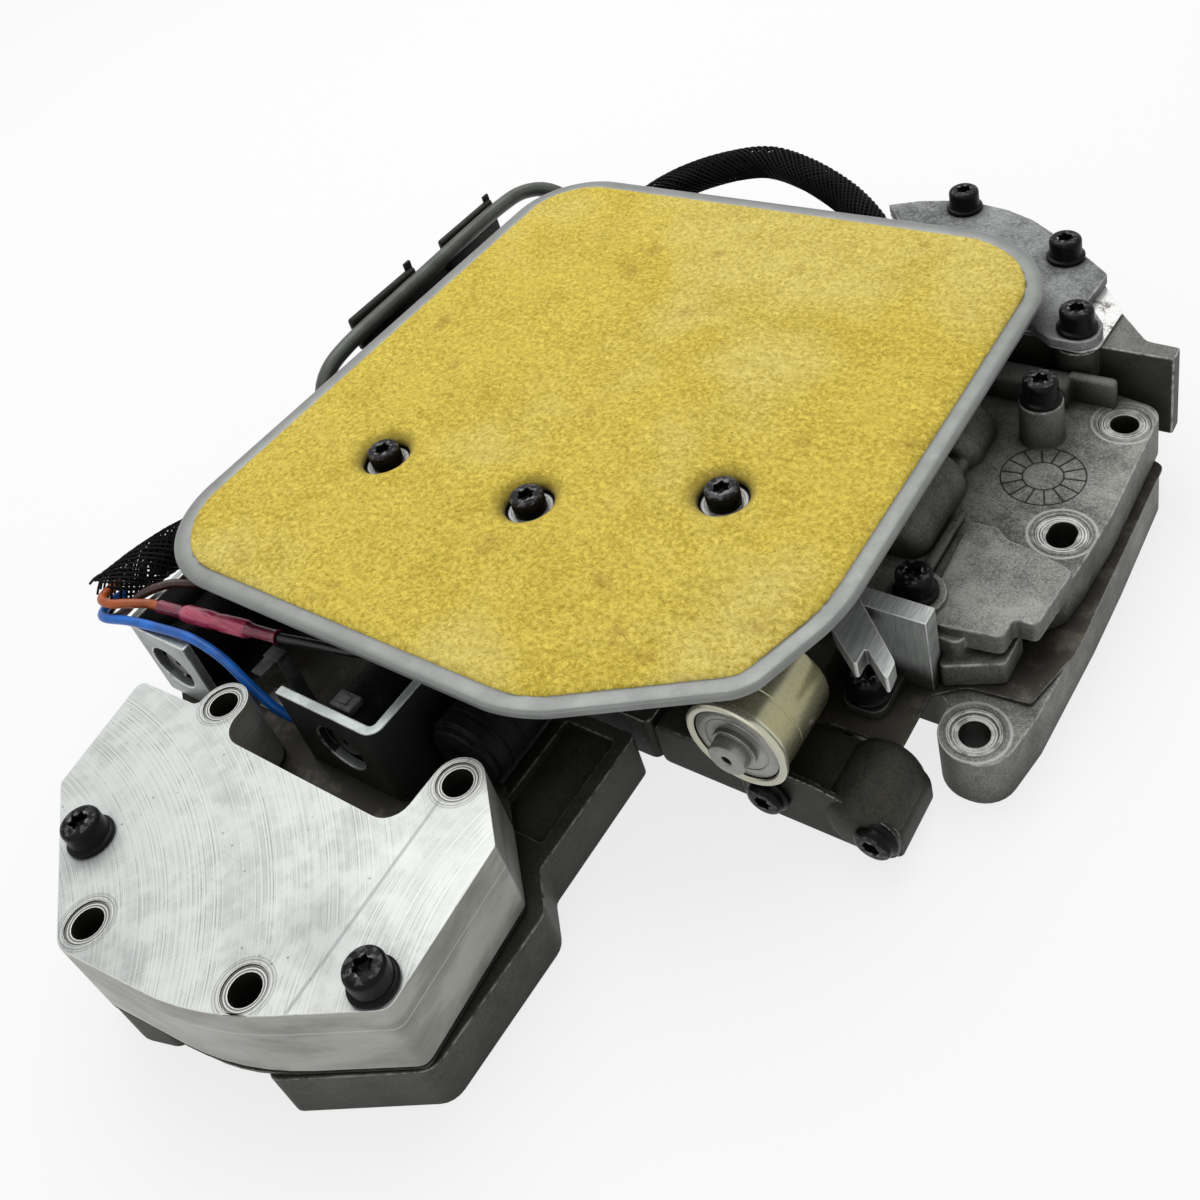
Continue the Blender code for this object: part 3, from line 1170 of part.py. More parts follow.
def build_wiring():
    """Cut end of the second sleeve, the wires out of it, and a crimped splice."""
    plate_top = SEPARATOR_TOP + SEAT_GAP
    coil_top = (HOUSING_BOTTOM + FRAME_TOP) / 2 + solenoid_coil_radius(LEFT_FRAME) + SEAT_GAP
    top = FRAME_TOP
    sleeve_route = [(14, 74, plate_top + SLEEVE_RADIUS), (4, 60, plate_top + SLEEVE_RADIUS + 4),
                    (-7, 42, top - 9), (-11, 24, top - 2), (-13, 6, top + 0.5), (-14.5, -9, top)]
    sleeve = tube("cable_sleeve", sleeve_route, SLEEVE_RADIUS, 10.0)
    mouth = cylinder("sleeve_mouth", (-12.9, 2, top + 0.4), (-0.1, -1, -0.03), SLEEVE_RADIUS - SLEEVE_WALL, 20)
    give(cut(sleeve, mouth), "sleeve_braid", **BLACK_PLASTIC)

    over = top + SEAT_GAP + WIRE_RADIUS
    blue = [(-12, -4, top - 1), (-12, -11, top - 0.4), (-7, -15.2, top + 1), (4, -13.2, over + 0.2),
            (16, -11.2, over + 0.2), (31, -9.6, over), (43, -9.4, top - 2), (52, -10, top - 10),
            (60, -9.4, top - 19), (65, -5, top - 26),
            (67.5, 4, plate_top + WIRE_RADIUS)]
    give(tube("wire_blue", blue, WIRE_RADIUS, 5.0, 1), "wire_blue", (0.02, 0.12, 0.5), 0.4)

    start, end = (Vector(point) for point in SPLICE_ENDS)
    span = end - start
    along = span.normalized()
    orange = [(-12.5, -3, top + 3.2), (-11, -10.8, top + 4.4), (-5.5, -12.2, top + 5), (0, -9.2, top + 4.2),
              start - along * 5, start - along * 2, start - along * SEAT_GAP]
    give(tube("wire_orange", orange, WIRE_RADIUS, 4.0, 1), "wire_orange", (0.45, 0.1, 0.02), 0.45)

    brown = [(-14.5, -3, top - 2.6), (-13.6, -10.6, top - 3.6), (-9.5, -12.8, top - 3.4),
             (-4.6, -10, top - 1), (-1, -3.4, top + 2), (5, 3.4, top + 2.4), (11, 8, top),
             (15, 13, coil_top + WIRE_RADIUS)]
    give(tube("wire_brown", brown, WIRE_RADIUS, 4.0, 1), "wire_brown", (0.05, 0.015, 0.01), 0.5)

    black = [end + along * SEAT_GAP, end + along * 3, (68, 3.8, top + 2), (77, 5.8, top + 1.4),
             (84, 8.4, top - 0.4),
             (90, 12, coil_top + 0.5 + WIRE_RADIUS)]
    give(tube("wire_black", black, WIRE_RADIUS, 5.0, 1), "wire_black", (0.012, 0.012, 0.012), 0.5)

    length = span.length
    middle = SPLICE_MIDDLE / 2
    splice = turned("crimp_splice", [
        (0, length), (SPLICE_END_RADIUS, length), (SPLICE_END_RADIUS, length / 2 + middle + 2),
        (SPLICE_RADIUS, length / 2 + middle), (SPLICE_RADIUS, length / 2 - middle),
        (SPLICE_END_RADIUS, length / 2 - middle - 2), (SPLICE_END_RADIUS, 0), (0, 0)])
    splice.location = place(*start)
    splice.rotation_euler = span.to_track_quat("Z", "Y").to_euler()
    settle(splice)
    give(splice, "splice_plastic", (0.35, 0.04, 0.05), 0.3)


def main():
    clear_scene()
    build_filter()
    build_filter_screws()
    build_neck()
    build_cover_block()
    build_accumulator()
    build_accumulator_housing()
    build_transfer_plate()
    build_upper_housing()
    build_bore_end()
    build_separator()
    build_lower_housing()
    build_rear_housing()
    build_rear_cover()
    build_flanged_screws()
    build_valves()
    build_solenoid("left", LEFT_FRAME, "right")
    build_solenoid("right", RIGHT_FRAME, "left")
    build_pressure_solenoid()
    build_round_solenoid()
    build_clamp()
    build_oil_tube()
    build_harness()
    build_wiring()


if __name__ == "__main__":
    main()
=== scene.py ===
"""Looks of an automatic transmission's valve body, oil filter side up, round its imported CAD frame."""

import json
import math
import random

import bmesh
import bpy
from bpy.props import FloatProperty, FloatVectorProperty, IntProperty, PointerProperty
from bpy.types import Operator, Panel, PropertyGroup
from mathutils import Matrix, Vector, kdtree, noise

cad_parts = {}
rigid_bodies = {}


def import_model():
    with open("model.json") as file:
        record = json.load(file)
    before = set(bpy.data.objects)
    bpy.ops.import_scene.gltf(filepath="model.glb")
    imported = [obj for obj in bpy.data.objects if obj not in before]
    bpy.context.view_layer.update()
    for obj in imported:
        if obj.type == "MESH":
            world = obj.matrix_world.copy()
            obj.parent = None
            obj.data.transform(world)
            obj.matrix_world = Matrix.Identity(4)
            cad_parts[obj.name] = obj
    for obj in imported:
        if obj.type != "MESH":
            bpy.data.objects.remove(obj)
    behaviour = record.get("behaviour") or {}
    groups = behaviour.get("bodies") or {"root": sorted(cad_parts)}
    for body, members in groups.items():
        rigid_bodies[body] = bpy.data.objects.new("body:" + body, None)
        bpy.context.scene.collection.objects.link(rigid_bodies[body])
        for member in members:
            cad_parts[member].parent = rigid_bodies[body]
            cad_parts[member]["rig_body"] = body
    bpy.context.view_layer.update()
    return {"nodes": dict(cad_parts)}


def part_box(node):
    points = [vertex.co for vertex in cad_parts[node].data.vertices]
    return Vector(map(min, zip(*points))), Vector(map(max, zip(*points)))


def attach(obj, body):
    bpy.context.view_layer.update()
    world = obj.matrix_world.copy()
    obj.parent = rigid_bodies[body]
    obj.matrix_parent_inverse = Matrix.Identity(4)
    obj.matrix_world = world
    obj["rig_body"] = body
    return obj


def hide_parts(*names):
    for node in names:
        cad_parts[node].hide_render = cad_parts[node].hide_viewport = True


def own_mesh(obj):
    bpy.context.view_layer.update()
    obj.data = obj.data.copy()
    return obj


bl_info = {
    "name": "Transmission Valve Body Looks",
    "version": (1, 0, 0),
    "blender": (4, 5, 0),
    "location": "3D View > Sidebar > Valve Body",
    "description": "Castings, felt filter, solenoids, screws and wiring round the CAD solids of a valve body",
    "category": "Object",
}

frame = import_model()

MM = 0.001
WELD = 0.000002
# Plan positions are millimetres from the filter's front left corner, heights from the floor
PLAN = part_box("filter_pan")[0]
LOWER_TOP = 34.2
PLATE_TOP = 19.1
FRAME_TOP = 50.0
FILTER_TOP = 68.0
FELT_SCREWS = ((50.8, 67.1), (111.7, 66.5), (166.8, 89.5))
COIL_TOP = 46.25


def spot(x, y, z):
    """World position of a plan position in millimetres."""
    return Vector((PLAN.x + x * MM, PLAN.y + y * MM, z * MM))


# Sizes and colours that a user would change

def length(name, description, default):
    return FloatProperty(name=name, description=description, default=default, min=0.0, precision=5,
                         unit="LENGTH", subtype="DISTANCE")


def colour(name, description, default):
    return FloatVectorProperty(name=name, description=description, default=default, size=3, min=0.0,
                               max=1.0, subtype="COLOR")


class EdgeSizes(PropertyGroup):
    casting: length("Casting", "Rounding of cast edges", 0.00045)
    milled: length("Milled", "Rounding of milled edges", 0.00025)
    strap: length("Strap", "Rounding of the solenoid frames' edges", 0.0005)
    sheet: length("Sheet", "Rounding of thin sheet edges", 0.0001)


class FinishColours(PropertyGroup):
    casting_dark: colour("Casting shade", "Darker tone of the castings", (0.06, 0.06, 0.054))
    casting_light: colour("Casting", "Lighter tone of the castings", (0.4, 0.4, 0.37))
    milled: colour("Milled", "Fly-cut aluminium", (0.6, 0.63, 0.61))
    bright: colour("Bright metal", "Metal where an edge is worn bright", (0.72, 0.72, 0.69))
    zinc: colour("Zinc", "Zinc plated sheet", (0.46, 0.51, 0.49))
    band: colour("Filter band", "Rolled steel band of the filter", (0.2, 0.208, 0.2))
    felt_light: colour("Felt", "Lighter fibres of the felt", (0.92, 0.73, 0.13))
    felt_dark: colour("Felt shade", "Darker fibres of the felt", (0.47, 0.34, 0.03))
    # near black of the painted shade in recesses and on the walls of the bolt holes, and of the clamp block's dark
    # lower part
    oil: colour("Oil film", "Old oil in corners and recesses", (0.012, 0.011, 0.008))
    black_steel: colour("Black steel", "Phosphated screws", (0.0045, 0.0045, 0.0045))
    plastic: colour("Plastic", "Black moulded plastic", (0.006, 0.006, 0.0065))
    chromate: colour("Can", "Chromated solenoid can", (0.3, 0.29, 0.19))
    blue: colour("Blue wire", "Insulation of the blue wire", (0.006, 0.15, 0.62))
    orange: colour("Orange wire", "Insulation of the orange wire", (0.45, 0.09, 0.012))
    brown: colour("Brown wire", "Insulation of the brown wire", (0.045, 0.016, 0.009))
    splice: colour("Splice", "Translucent sleeve of the splice", (0.46, 0.028, 0.09))


class FeltSizes(PropertyGroup):
    tuck: length("Tuck", "How far the felt's edge is pushed under the band", 0.0036)
    cell: length("Cell", "Size of the felt's mesh cells", 0.0014)
    edge_fall: length("Edge fall", "How far the felt sinks at the band", 0.0019)
    fall_reach: length("Fall reach", "How far in from the band the felt sinks", 0.0045)
    swell: length("Swell", "Height of the felt's uneven places", 0.00035)


class BandSizes(PropertyGroup):
    width: length("Width", "Width of the rolled band", 0.0062)
    pleat: length("Pleat", "Depth of the crimp pleats at the corners", 0.001)
    crease: length("Crease", "Height of the creases across the band", 0.0003)


class BraidSizes(PropertyGroup):
    strand: length("Strand", "Radius of one braid strand", 0.00042)
    pitch: length("Pitch", "Length of one turn of a strand", 0.046)
    strands: IntProperty(name="Strands", description="Strands in each direction", default=18, min=6, max=40)
    fray: length("Fray", "How far cut strands stand out at an end", 0.0022)


class StageSettings(PropertyGroup):
    lens: FloatProperty(name="Lens", description="Focal length in millimetres", default=39.09, min=10.0)
    key_power: FloatProperty(name="Key light", description="Power of the large soft light", default=9.0,
                             unit="POWER")
    fill_power: FloatProperty(name="Fill light", description="Power of the light beside the camera",
                              default=1.0, unit="POWER")
    sky: FloatProperty(name="Sky", description="Strength of the even light", default=0.46, min=0.0)
    floor_glow: FloatProperty(name="Floor glow", description="Share of white that the camera sees on the floor",
                              default=0.78, min=0.0, max=1.0)
    floor: colour("Floor", "Colour of the floor", (0.9, 0.9, 0.9))


def settings(group):
    return getattr(bpy.context.scene, "valve_body_" + group)


# Shader maths

class Amount:
    """A number that varies over a surface; each sum on it adds a Math node."""

    def __init__(self, tree, socket):
        self.tree = tree
        self.socket = socket

    def worked(self, operation, first, second=0.0):
        node = self.tree.nodes.new("ShaderNodeMath")
        node.operation = operation
        for place, value in zip(node.inputs, (first, second)):
            if isinstance(value, Amount):
                self.tree.links.new(value.socket, place)
            else:
                place.default_value = value
        return Amount(self.tree, node.outputs[0])

    def __add__(self, other):
        return self.worked("ADD", self, other)

    __radd__ = __add__

    def __sub__(self, other):
        return self.worked("SUBTRACT", self, other)

    def __rsub__(self, other):
        return self.worked("SUBTRACT", other, self)

    def __mul__(self, other):
        return self.worked("MULTIPLY", self, other)

    __rmul__ = __mul__

    def __truediv__(self, other):
        return self.worked("DIVIDE", self, other)

    def __pow__(self, other):
        return self.worked("POWER", self, other)


class Finish:
    """The node tree of one surface finish."""

    def __init__(self, name, **flat):
        self.material = bpy.data.materials.new(name)
        self.material.use_nodes = True
        self.tree = self.material.node_tree
        self.shader = self.tree.nodes["Principled BSDF"]
        for socket, value in flat.items():
            self.shader.inputs[socket.replace("_", " ").title().replace("Ior", "IOR")].default_value = value
        self.place = self.node("TexCoord", output="Object")

    def set(self, socket, value):
        if isinstance(value, Amount):
            self.tree.links.new(value.socket, socket)
        elif socket.type == "RGBA":
            socket.default_value = (*value, 1.0)
        else:
            socket.default_value = value

    def node(self, kind, choices=None, values=None, output=0):
        made = self.tree.nodes.new("ShaderNode" + kind)
        for name, value in (choices or {}).items():
            setattr(made, name, value)
        for name, value in (values or {}).items():
            self.set(made.inputs[name], value)
        return Amount(self.tree, made.outputs[output])

    def grain(self, scale, detail=2.0, roughness=0.5, place=None):
        values = {"Vector": place or self.place, "Scale": scale, "Detail": detail, "Roughness": roughness}
        return self.node("TexNoise", None, values)

    def cells(self, scale, output="Distance", place=None):
        return self.node("TexVoronoi", None, {"Vector": place or self.place, "Scale": scale}, output)

    def stretched(self, scale, turn=0.0, centre=(0.0, 0.0, 0.0)):
        values = {"Vector": self.place, "Scale": scale, "Rotation": (0.0, 0.0, turn), "Location": centre}
        return self.node("Mapping", None, values)

    def rings(self, x, y, scale):
        """Uneven fine lines on circles round a plan position, as a fly cutter leaves."""
        centre = spot(x, y, 0)
        flat = self.node("VectorMath", {"operation": "MULTIPLY"}, {0: self.place, 1: (1.0, 1.0, 0.0)})
        away = self.node("VectorMath", {"operation": "DISTANCE"}, {0: flat, 1: tuple(centre)}, "Value")
        return self.node("TexNoise", {"noise_dimensions": "1D"}, {"W": away, "Scale": scale, "Detail": 3.0,
                                                                 "Roughness": 0.7})

    def open_air(self, reach=0.016):
        """One where a surface is open, nought deep in a recess, where the finishes paint shade."""
        return self.node("AmbientOcclusion", {"samples": 5}, {"Distance": reach}, "AO")

    def turned_away(self, reach):
        """Above nought near an edge, where a rounded surface would lean away from the flat one."""
        rounded = self.node("Bevel", {"samples": 4}, {"Radius": reach})
        flat = self.node("NewGeometry", output="True Normal")
        return 1.0 - self.node("VectorMath", {"operation": "DOT_PRODUCT"}, {0: rounded, 1: flat}, "Value")

    def beside(self, start, end):
        """Metres to the right of a line from one plan position to another."""
        first = spot(*start, 0)
        along = (spot(*end, 0) - first).normalized()
        right = Vector((-along.y, along.x, 0.0))
        return self.node("VectorMath", {"operation": "DOT_PRODUCT"}, {0: self.place, 1: tuple(right)},
                         "Value") - right.dot(first)

    def nearest(self, holes):
        """Metres in plan to the axis of the nearest of several holes."""
        flat = self.node("VectorMath", {"operation": "MULTIPLY"}, {0: self.place, 1: (1.0, 1.0, 0.0)})
        found = None
        for x, y in holes:
            away = self.node("VectorMath", {"operation": "DISTANCE"}, {0: flat, 1: tuple(spot(x, y, 0))}, "Value")
            found = away if found is None else away.worked("MINIMUM", away, found)
        return found

    def line(self, amount, at, width):
        """One on a thin line where the amount has a value, nought beside it."""
        off = self.node("Math", {"operation": "ABSOLUTE"}, {0: amount - at})
        return 1.0 - self.band(off, width * 0.4, width)

    def band(self, amount, low, high):
        """Nought below low, one above high, smooth between."""
        return self.node("MapRange", {"interpolation_type": "SMOOTHSTEP"},
                         {"Value": amount, "From Min": low, "From Max": high})

    def mix(self, factor, first, second, blend="MIX"):
        return self.node("Mix", {"data_type": "RGBA", "blend_type": blend}, {0: factor, 6: first, 7: second}, 2)

    def mark(self, name):
        return self.node("Attribute", {"attribute_name": name}, None, "Fac")

    def done(self, base, roughness=None, height=None, depth=0.0001, softness=None):
        self.set(self.shader.inputs["Base Color"], base)
        if roughness is not None:
            self.set(self.shader.inputs["Roughness"], roughness)
        if height is not None:
            values = {"Strength": 1.0, "Distance": depth, "Height": height}
            if softness:
                values["Normal"] = self.node("Bevel", {"samples": 4}, {"Radius": softness})
            self.set(self.shader.inputs["Normal"], self.node("Bump", None, values))
        return self.material


def shade_of(base, factor):
    return tuple(min(1.0, part * factor) for part in base)


# Finishes of this object

BLOCK_BOLTS = ((77.0, -86.3), (129.9, -78.9), (56.8, -21.4), (141.2, -12.2))
BODY_BOLTS = ((249.3, 189.6), (247.6, 137.5), (245.3, 74.3))
VALVE_BORES = ((166.0, 208.0), (131.0, 211.5))
BORE_HEIGHT = 36.0
BORE_RADIUS = 6.5
HEAD_SQUAT = (1.05, 1.05, 0.87)
STEP_LINE = ((140.5, -18.4), (143.9, -78.6))


def casting(name, dark, light, edge_wear=0.9, coarse=1.0, sides=0.6, seats=(), softness=0.0013, recess=0.016):
    """Sand-cast aluminium: grainy, with painted glints, painted highlights along its edges, painted shade in its
    recesses, its bolt holes and on faces that don't look up, and bright where it is worn or spot faced.
    """
    paint = Finish(name, metallic=0.15, specular_ior_level=0.2)
    colours = settings("colours")
    skin = paint.grain(1500 * coarse, 3.0, 0.65)
    mottle = paint.grain(230, 5.0, 0.68)
    stain = paint.grain(34, 4.0, 0.6)
    pits = paint.cells(700 * coarse)
    tone = paint.band(skin * 0.44 + mottle * 0.22 + stain * 0.5, 0.42, 0.74)
    base = paint.mix(tone, dark, light)
    pit = (1.0 - paint.band(pits, 0.08, 0.22)) * paint.band(mottle, 0.42, 0.6)
    base = paint.mix(pit * 0.4, base, shade_of(dark, 0.3))
    glint = paint.band(paint.grain(2600 * coarse, 2.0), 0.64, 0.74) * tone
    base = paint.mix(glint * 0.5, base, shade_of(light, 1.7))
    # painted shade: faces that don't look up keep only the share sides of their colour
    base = paint.mix((1.0 - paint.mark("top")) * (1.0 - sides), base, shade_of(dark, 0.3))
    if seats:
        away = paint.nearest(seats)
        ring = paint.node("TexNoise", {"noise_dimensions": "1D"}, {"W": away, "Scale": 2300.0, "Detail": 2.0})
        seat = (1.0 - paint.band(away, 0.0078, 0.0083)) * paint.mark("top")
        smear = paint.band(mottle * 0.6 + ring * 0.5, 0.42, 0.62)
        base = paint.mix(seat, base, paint.mix(smear, shade_of(light, 0.35), colours.bright))
        base = paint.mix(paint.line(away, 0.0079, 0.0005) * 0.7 * paint.mark("top"), base, shade_of(dark, 0.3))
        base = paint.mix(paint.line(away, 0.0098, 0.0006) * 0.5 * paint.mark("top"), base, colours.bright)
    # painted shade in recesses, where ambient occlusion finds them
    recess_shade = (1.0 - paint.band(paint.open_air(recess), 0.35, 0.9)) * 0.94
    chips = paint.band(paint.grain(300, 5.0, 0.7), 0.32, 0.66)
    # painted highlight along the rounded edges, found with the Bevel node
    edge_highlight = paint.band(paint.turned_away(softness), 0.015, 0.2) * (chips * 0.6 + 0.4)
    base = paint.mix(edge_highlight * edge_wear * 0.6, base, shade_of(light, 1.6))
    base = paint.mix(recess_shade, base, colours.oil)
    worn = paint.mark("worn") * chips * edge_wear * 0.75 * (1.0 - recess_shade)
    base = paint.mix(worn, base, colours.bright)
    # painted shade on the walls of the bolt holes
    base = paint.mix(paint.mark("bore") * 0.93, base, colours.oil)
    rough = skin * 0.3 + 0.38 - worn * 0.12
    return paint.done(base, rough, skin * 0.8 + mottle * 0.6 - pit * 0.4, 0.00016, softness)


def fly_cut(name, base_colour, centres, seats, contrast=1.0):
    """Milled aluminium with the arcs of a fly cutter, a shallow step, ringed seats and a dull wall."""
    paint = Finish(name, metallic=0.25, specular_ior_level=0.4)
    colours = settings("colours")
    first = paint.rings(*centres[0], 2300)
    second = paint.rings(*centres[1], 1700)
    cross = paint.rings(*centres[2], 2900)
    right = paint.beside(*STEP_LINE)
    patch = paint.band(paint.grain(15, 2.0) + right * 6.0, 0.45, 0.6)
    lines = first * (1.0 - patch) + second * patch
    lines = lines * 0.75 + cross * 0.25
    soft = paint.grain(24, 4.0, 0.6)
    broken = paint.band(paint.grain(150, 3.0, 0.6), 0.36, 0.62)
    tone = paint.band(lines * 0.85 + soft * 0.4, 0.5, 0.8) * (broken * 0.7 + 0.3)
    base = paint.mix(tone * contrast, shade_of(base_colour, 1.08), shade_of(base_colour, 0.5))
    base = paint.mix(paint.band(soft, 0.48, 0.7) * 0.5, base, shade_of(base_colour, 0.62))
    glare = paint.band(paint.grain(11, 2.0), 0.5, 0.7)
    base = paint.mix(glare * 0.4, base, (0.8, 0.8, 0.74))
    base = paint.mix(paint.line(right, 0.0, 0.0007) * 0.55, base, shade_of(base_colour, 0.35))
    scratch = paint.grain(75, 2.0, 0.5, paint.stretched((1.0, 22.0, 1.0), 0.9))
    base = paint.mix(paint.band(scratch, 0.68, 0.74) * 0.2, base, shade_of(base_colour, 0.45))
    spots = (1.0 - paint.band(paint.cells(260), 0.04, 0.12)) * paint.band(paint.grain(60), 0.5, 0.6)
    base = paint.mix(spots * 0.8, base, (0.12, 0.12, 0.11))
    wall_cloud = paint.grain(36, 4.0, 0.6, paint.stretched((1.0, 1.0, 2.5)))
    wall = paint.mix(paint.band(wall_cloud, 0.35, 0.7), shade_of((0.33, 0.33, 0.3), 1.15), (0.2, 0.2, 0.175))
    height = paint.node("SeparateXYZ", None, {0: paint.place}, "Z")
    wall = paint.mix(paint.line(height, 0.0385, 0.00035) * 0.45, wall, (0.62, 0.62, 0.6))
    base = paint.mix(1.0 - paint.mark("top"), base, wall)
    away = paint.nearest(seats)
    ring = paint.node("TexNoise", {"noise_dimensions": "1D"}, {"W": away, "Scale": 2600.0, "Detail": 2.0})
    seat = (1.0 - paint.band(away, 0.0059, 0.0062)) * paint.mark("top")
    base = paint.mix(seat, base, paint.mix(paint.band(ring, 0.45, 0.55), (0.1, 0.1, 0.095), (0.66, 0.66, 0.64)))
    for reach, width, depth in ((0.0061, 0.0004, 0.75), (0.0071, 0.0003, 0.5), (0.0078, 0.0003, 0.35)):
        base = paint.mix(paint.line(away, reach, width) * depth * paint.mark("top"), base, (0.08, 0.08, 0.075))
    worn = paint.mark("worn") * paint.band(paint.grain(300), 0.25, 0.5)
    base = paint.mix(worn * 0.8, base, colours.bright)
    # painted shade in recesses, where ambient occlusion finds them
    recess_shade = (1.0 - paint.band(paint.open_air(0.008), 0.3, 0.75)) * 0.85
    base = paint.mix(recess_shade, base, colours.oil)
    # painted shade on the walls of the bolt holes
    base = paint.mix(paint.mark("bore") * 0.95, base, colours.oil)
    return paint.done(base, lines * 0.22 + 0.24, lines * 0.7 + soft * 0.15 - spots * 0.5, 0.00007)


def plated(name, base_colour, roughness=0.34, metallic=0.4, edge_wear=1.0, sides=1.0, patchy=0.8):
    """Zinc plated or rolled sheet, faintly stained, with bright edges, painted shade in its recesses and bolt holes,
    and painted shade on faces that don't look up.
    """
    paint = Finish(name, metallic=metallic, specular_ior_level=0.4)
    colours = settings("colours")
    cloud = paint.grain(120, 4.0, 0.65)
    fine = paint.grain(1300, 2.0)
    stain = paint.grain(48, 4.0, 0.6)
    tone = paint.band(cloud * 0.5 + stain * 0.6, 0.42, 0.72)
    base = paint.mix(tone * patchy, shade_of(base_colour, 1.15), shade_of(base_colour, 0.55))
    base = paint.mix(paint.band(fine, 0.6, 0.75) * 0.35, base, shade_of(base_colour, 1.5))
    # painted shade on faces that don't look up
    base = paint.mix((1.0 - paint.mark("top")) * (1.0 - sides), base, shade_of(base_colour, 0.035))
    # painted shade in recesses, where ambient occlusion finds them
    recess_shade = (1.0 - paint.band(paint.open_air(0.01), 0.25, 0.75)) * 0.9
    base = paint.mix(recess_shade, base, colours.oil)
    worn = paint.mark("worn") * paint.band(paint.grain(380), 0.25, 0.5) * edge_wear
    base = paint.mix(worn, base, colours.bright)
    # painted shade on the walls of the bolt holes
    base = paint.mix(paint.mark("bore") * 0.93, base, colours.oil)
    return paint.done(base, cloud * 0.25 + roughness - 0.1, cloud * 0.5 + fine * 0.4, 0.00005)


def dark_steel(name, base_colour, roughness=0.36, recess=0.034):
    """Oiled dark steel with rubbed places, tiny bright specks and painted shade in its recesses."""
    paint = Finish(name, metallic=0.3, specular_ior_level=0.18)
    rub = paint.grain(90, 5.0, 0.7)
    fine = paint.grain(1600, 2.0)
    base = paint.mix(paint.band(rub, 0.5, 0.72), base_colour, shade_of(base_colour, 2.6))
    specks = (1.0 - paint.band(paint.cells(560), 0.07, 0.15)) * paint.band(rub, 0.48, 0.6)
    base = paint.mix(specks * 0.7, base, (0.36, 0.34, 0.29))
    # painted shade in recesses, where ambient occlusion finds them
    recess_shade = (1.0 - paint.band(paint.open_air(recess), 0.3, 0.85)) * 0.96
    base = paint.mix(recess_shade, base, settings("colours").oil)
    worn = paint.mark("worn") * paint.band(paint.grain(500), 0.4, 0.6)
    base = paint.mix(worn * 0.7, base, (0.36, 0.36, 0.34))
    return paint.done(base, rub * 0.3 + roughness - 0.12, fine * 0.6 + rub * 0.3, 0.00006)


def phosphated():
    """Black screws, bright in a few places at the rim of the socket, partly rubbed wear and partly a painted
    highlight.
    """
    colours = settings("colours")
    paint = Finish("phosphated_steel", specular_ior_level=0.09)
    fine = paint.grain(2400, 3.0, 0.6)
    cloud = paint.grain(330, 3.0)
    base = paint.mix(paint.band(cloud, 0.4, 0.7), colours.black_steel, shade_of(colours.black_steel, 1.8))
    # partly rubbed wear, partly a painted highlight at the rims
    worn = paint.mark("worn") * paint.band(paint.grain(620, 2.0), 0.46, 0.62)
    base = paint.mix(worn * 0.6, base, (0.34, 0.33, 0.33))
    return paint.done(base, fine * 0.2 + 0.16, fine, 0.00004)


def needle_felt():
    """Yellow needle felt: matted fibres, darker needle marks and tea-brown stains, with painted shade round the
    screws and in its recesses.
    """
    colours = settings("colours")
    paint = Finish("needle_felt", roughness=0.95, sheen_weight=0.08, sheen_roughness=0.6,
                   specular_ior_level=0.06)
    bend = paint.node("TexNoise", None, {"Vector": paint.place, "Scale": 240.0, "Detail": 1.0}, "Color")
    bent = paint.node("VectorMath", {"operation": "MULTIPLY_ADD"}, {0: bend, 1: (0.006, 0.006, 0.006),
                                                                  2: paint.place})
    hairs = []
    for turn, stretch in ((0.75, 6.0), (1.6, 6.0), (0.1, 5.0)):
        place = paint.node("Mapping", None, {"Vector": bent, "Scale": (1.0, stretch, 1.0),
                                             "Rotation": (0.0, 0.0, turn)})
        hairs.append(paint.grain(680, 3.0, 0.7, place))
    fibre = (hairs[0] * 1.4 + hairs[1] * 0.8 + hairs[2] * 0.8) / 3.0
    mat = paint.grain(640, 4.0, 0.7)
    patch = paint.grain(46, 5.0, 0.65)
    wide = paint.grain(11, 3.0, 0.6)
    tone = paint.band(fibre * 0.6 + mat * 0.35 + patch * 0.12, 0.44, 0.62)
    base = paint.mix(tone, colours.felt_dark, colours.felt_light)
    base = paint.mix(paint.band(patch, 0.52, 0.72) * 0.3, base, shade_of(colours.felt_dark, 1.2))
    base = paint.mix(paint.band(wide, 0.46, 0.64) * 0.5, base, paint.mix(tone, (0.56, 0.42, 0.07), (0.93, 0.8, 0.3)))
    pale = paint.band(hairs[1] * 0.5 + hairs[2] * 0.5, 0.6, 0.68)
    base = paint.mix(pale * 0.5, base, (0.95, 0.86, 0.42))
    needle = (1.0 - paint.band(paint.cells(520), 0.1, 0.26)) * paint.band(paint.grain(120), 0.5, 0.62)
    base = paint.mix(needle * 0.45, base, shade_of(colours.felt_dark, 0.4))
    brown = paint.band(paint.grain(60, 4.0, 0.55), 0.64, 0.72)
    base = paint.mix(brown * 0.35, base, (0.34, 0.2, 0.03))
    # painted shade round the screws, where the felt dips
    screw_dimple_shade = (1.0 - paint.band(paint.nearest(FELT_SCREWS), 0.0075, 0.0125)) * paint.band(mat, 0.3, 0.5)
    base = paint.mix(screw_dimple_shade * 0.55, base, (0.14, 0.1, 0.015))
    # painted shade in the felt's recesses, where ambient occlusion finds them
    recess_shade = (1.0 - paint.band(paint.open_air(0.004), 0.3, 0.85)) * 0.75
    base = paint.mix(recess_shade, base, (0.07, 0.05, 0.012))
    return paint.done(base, None, fibre * 0.9 + mat * 0.7 - needle * 0.3, 0.00045)


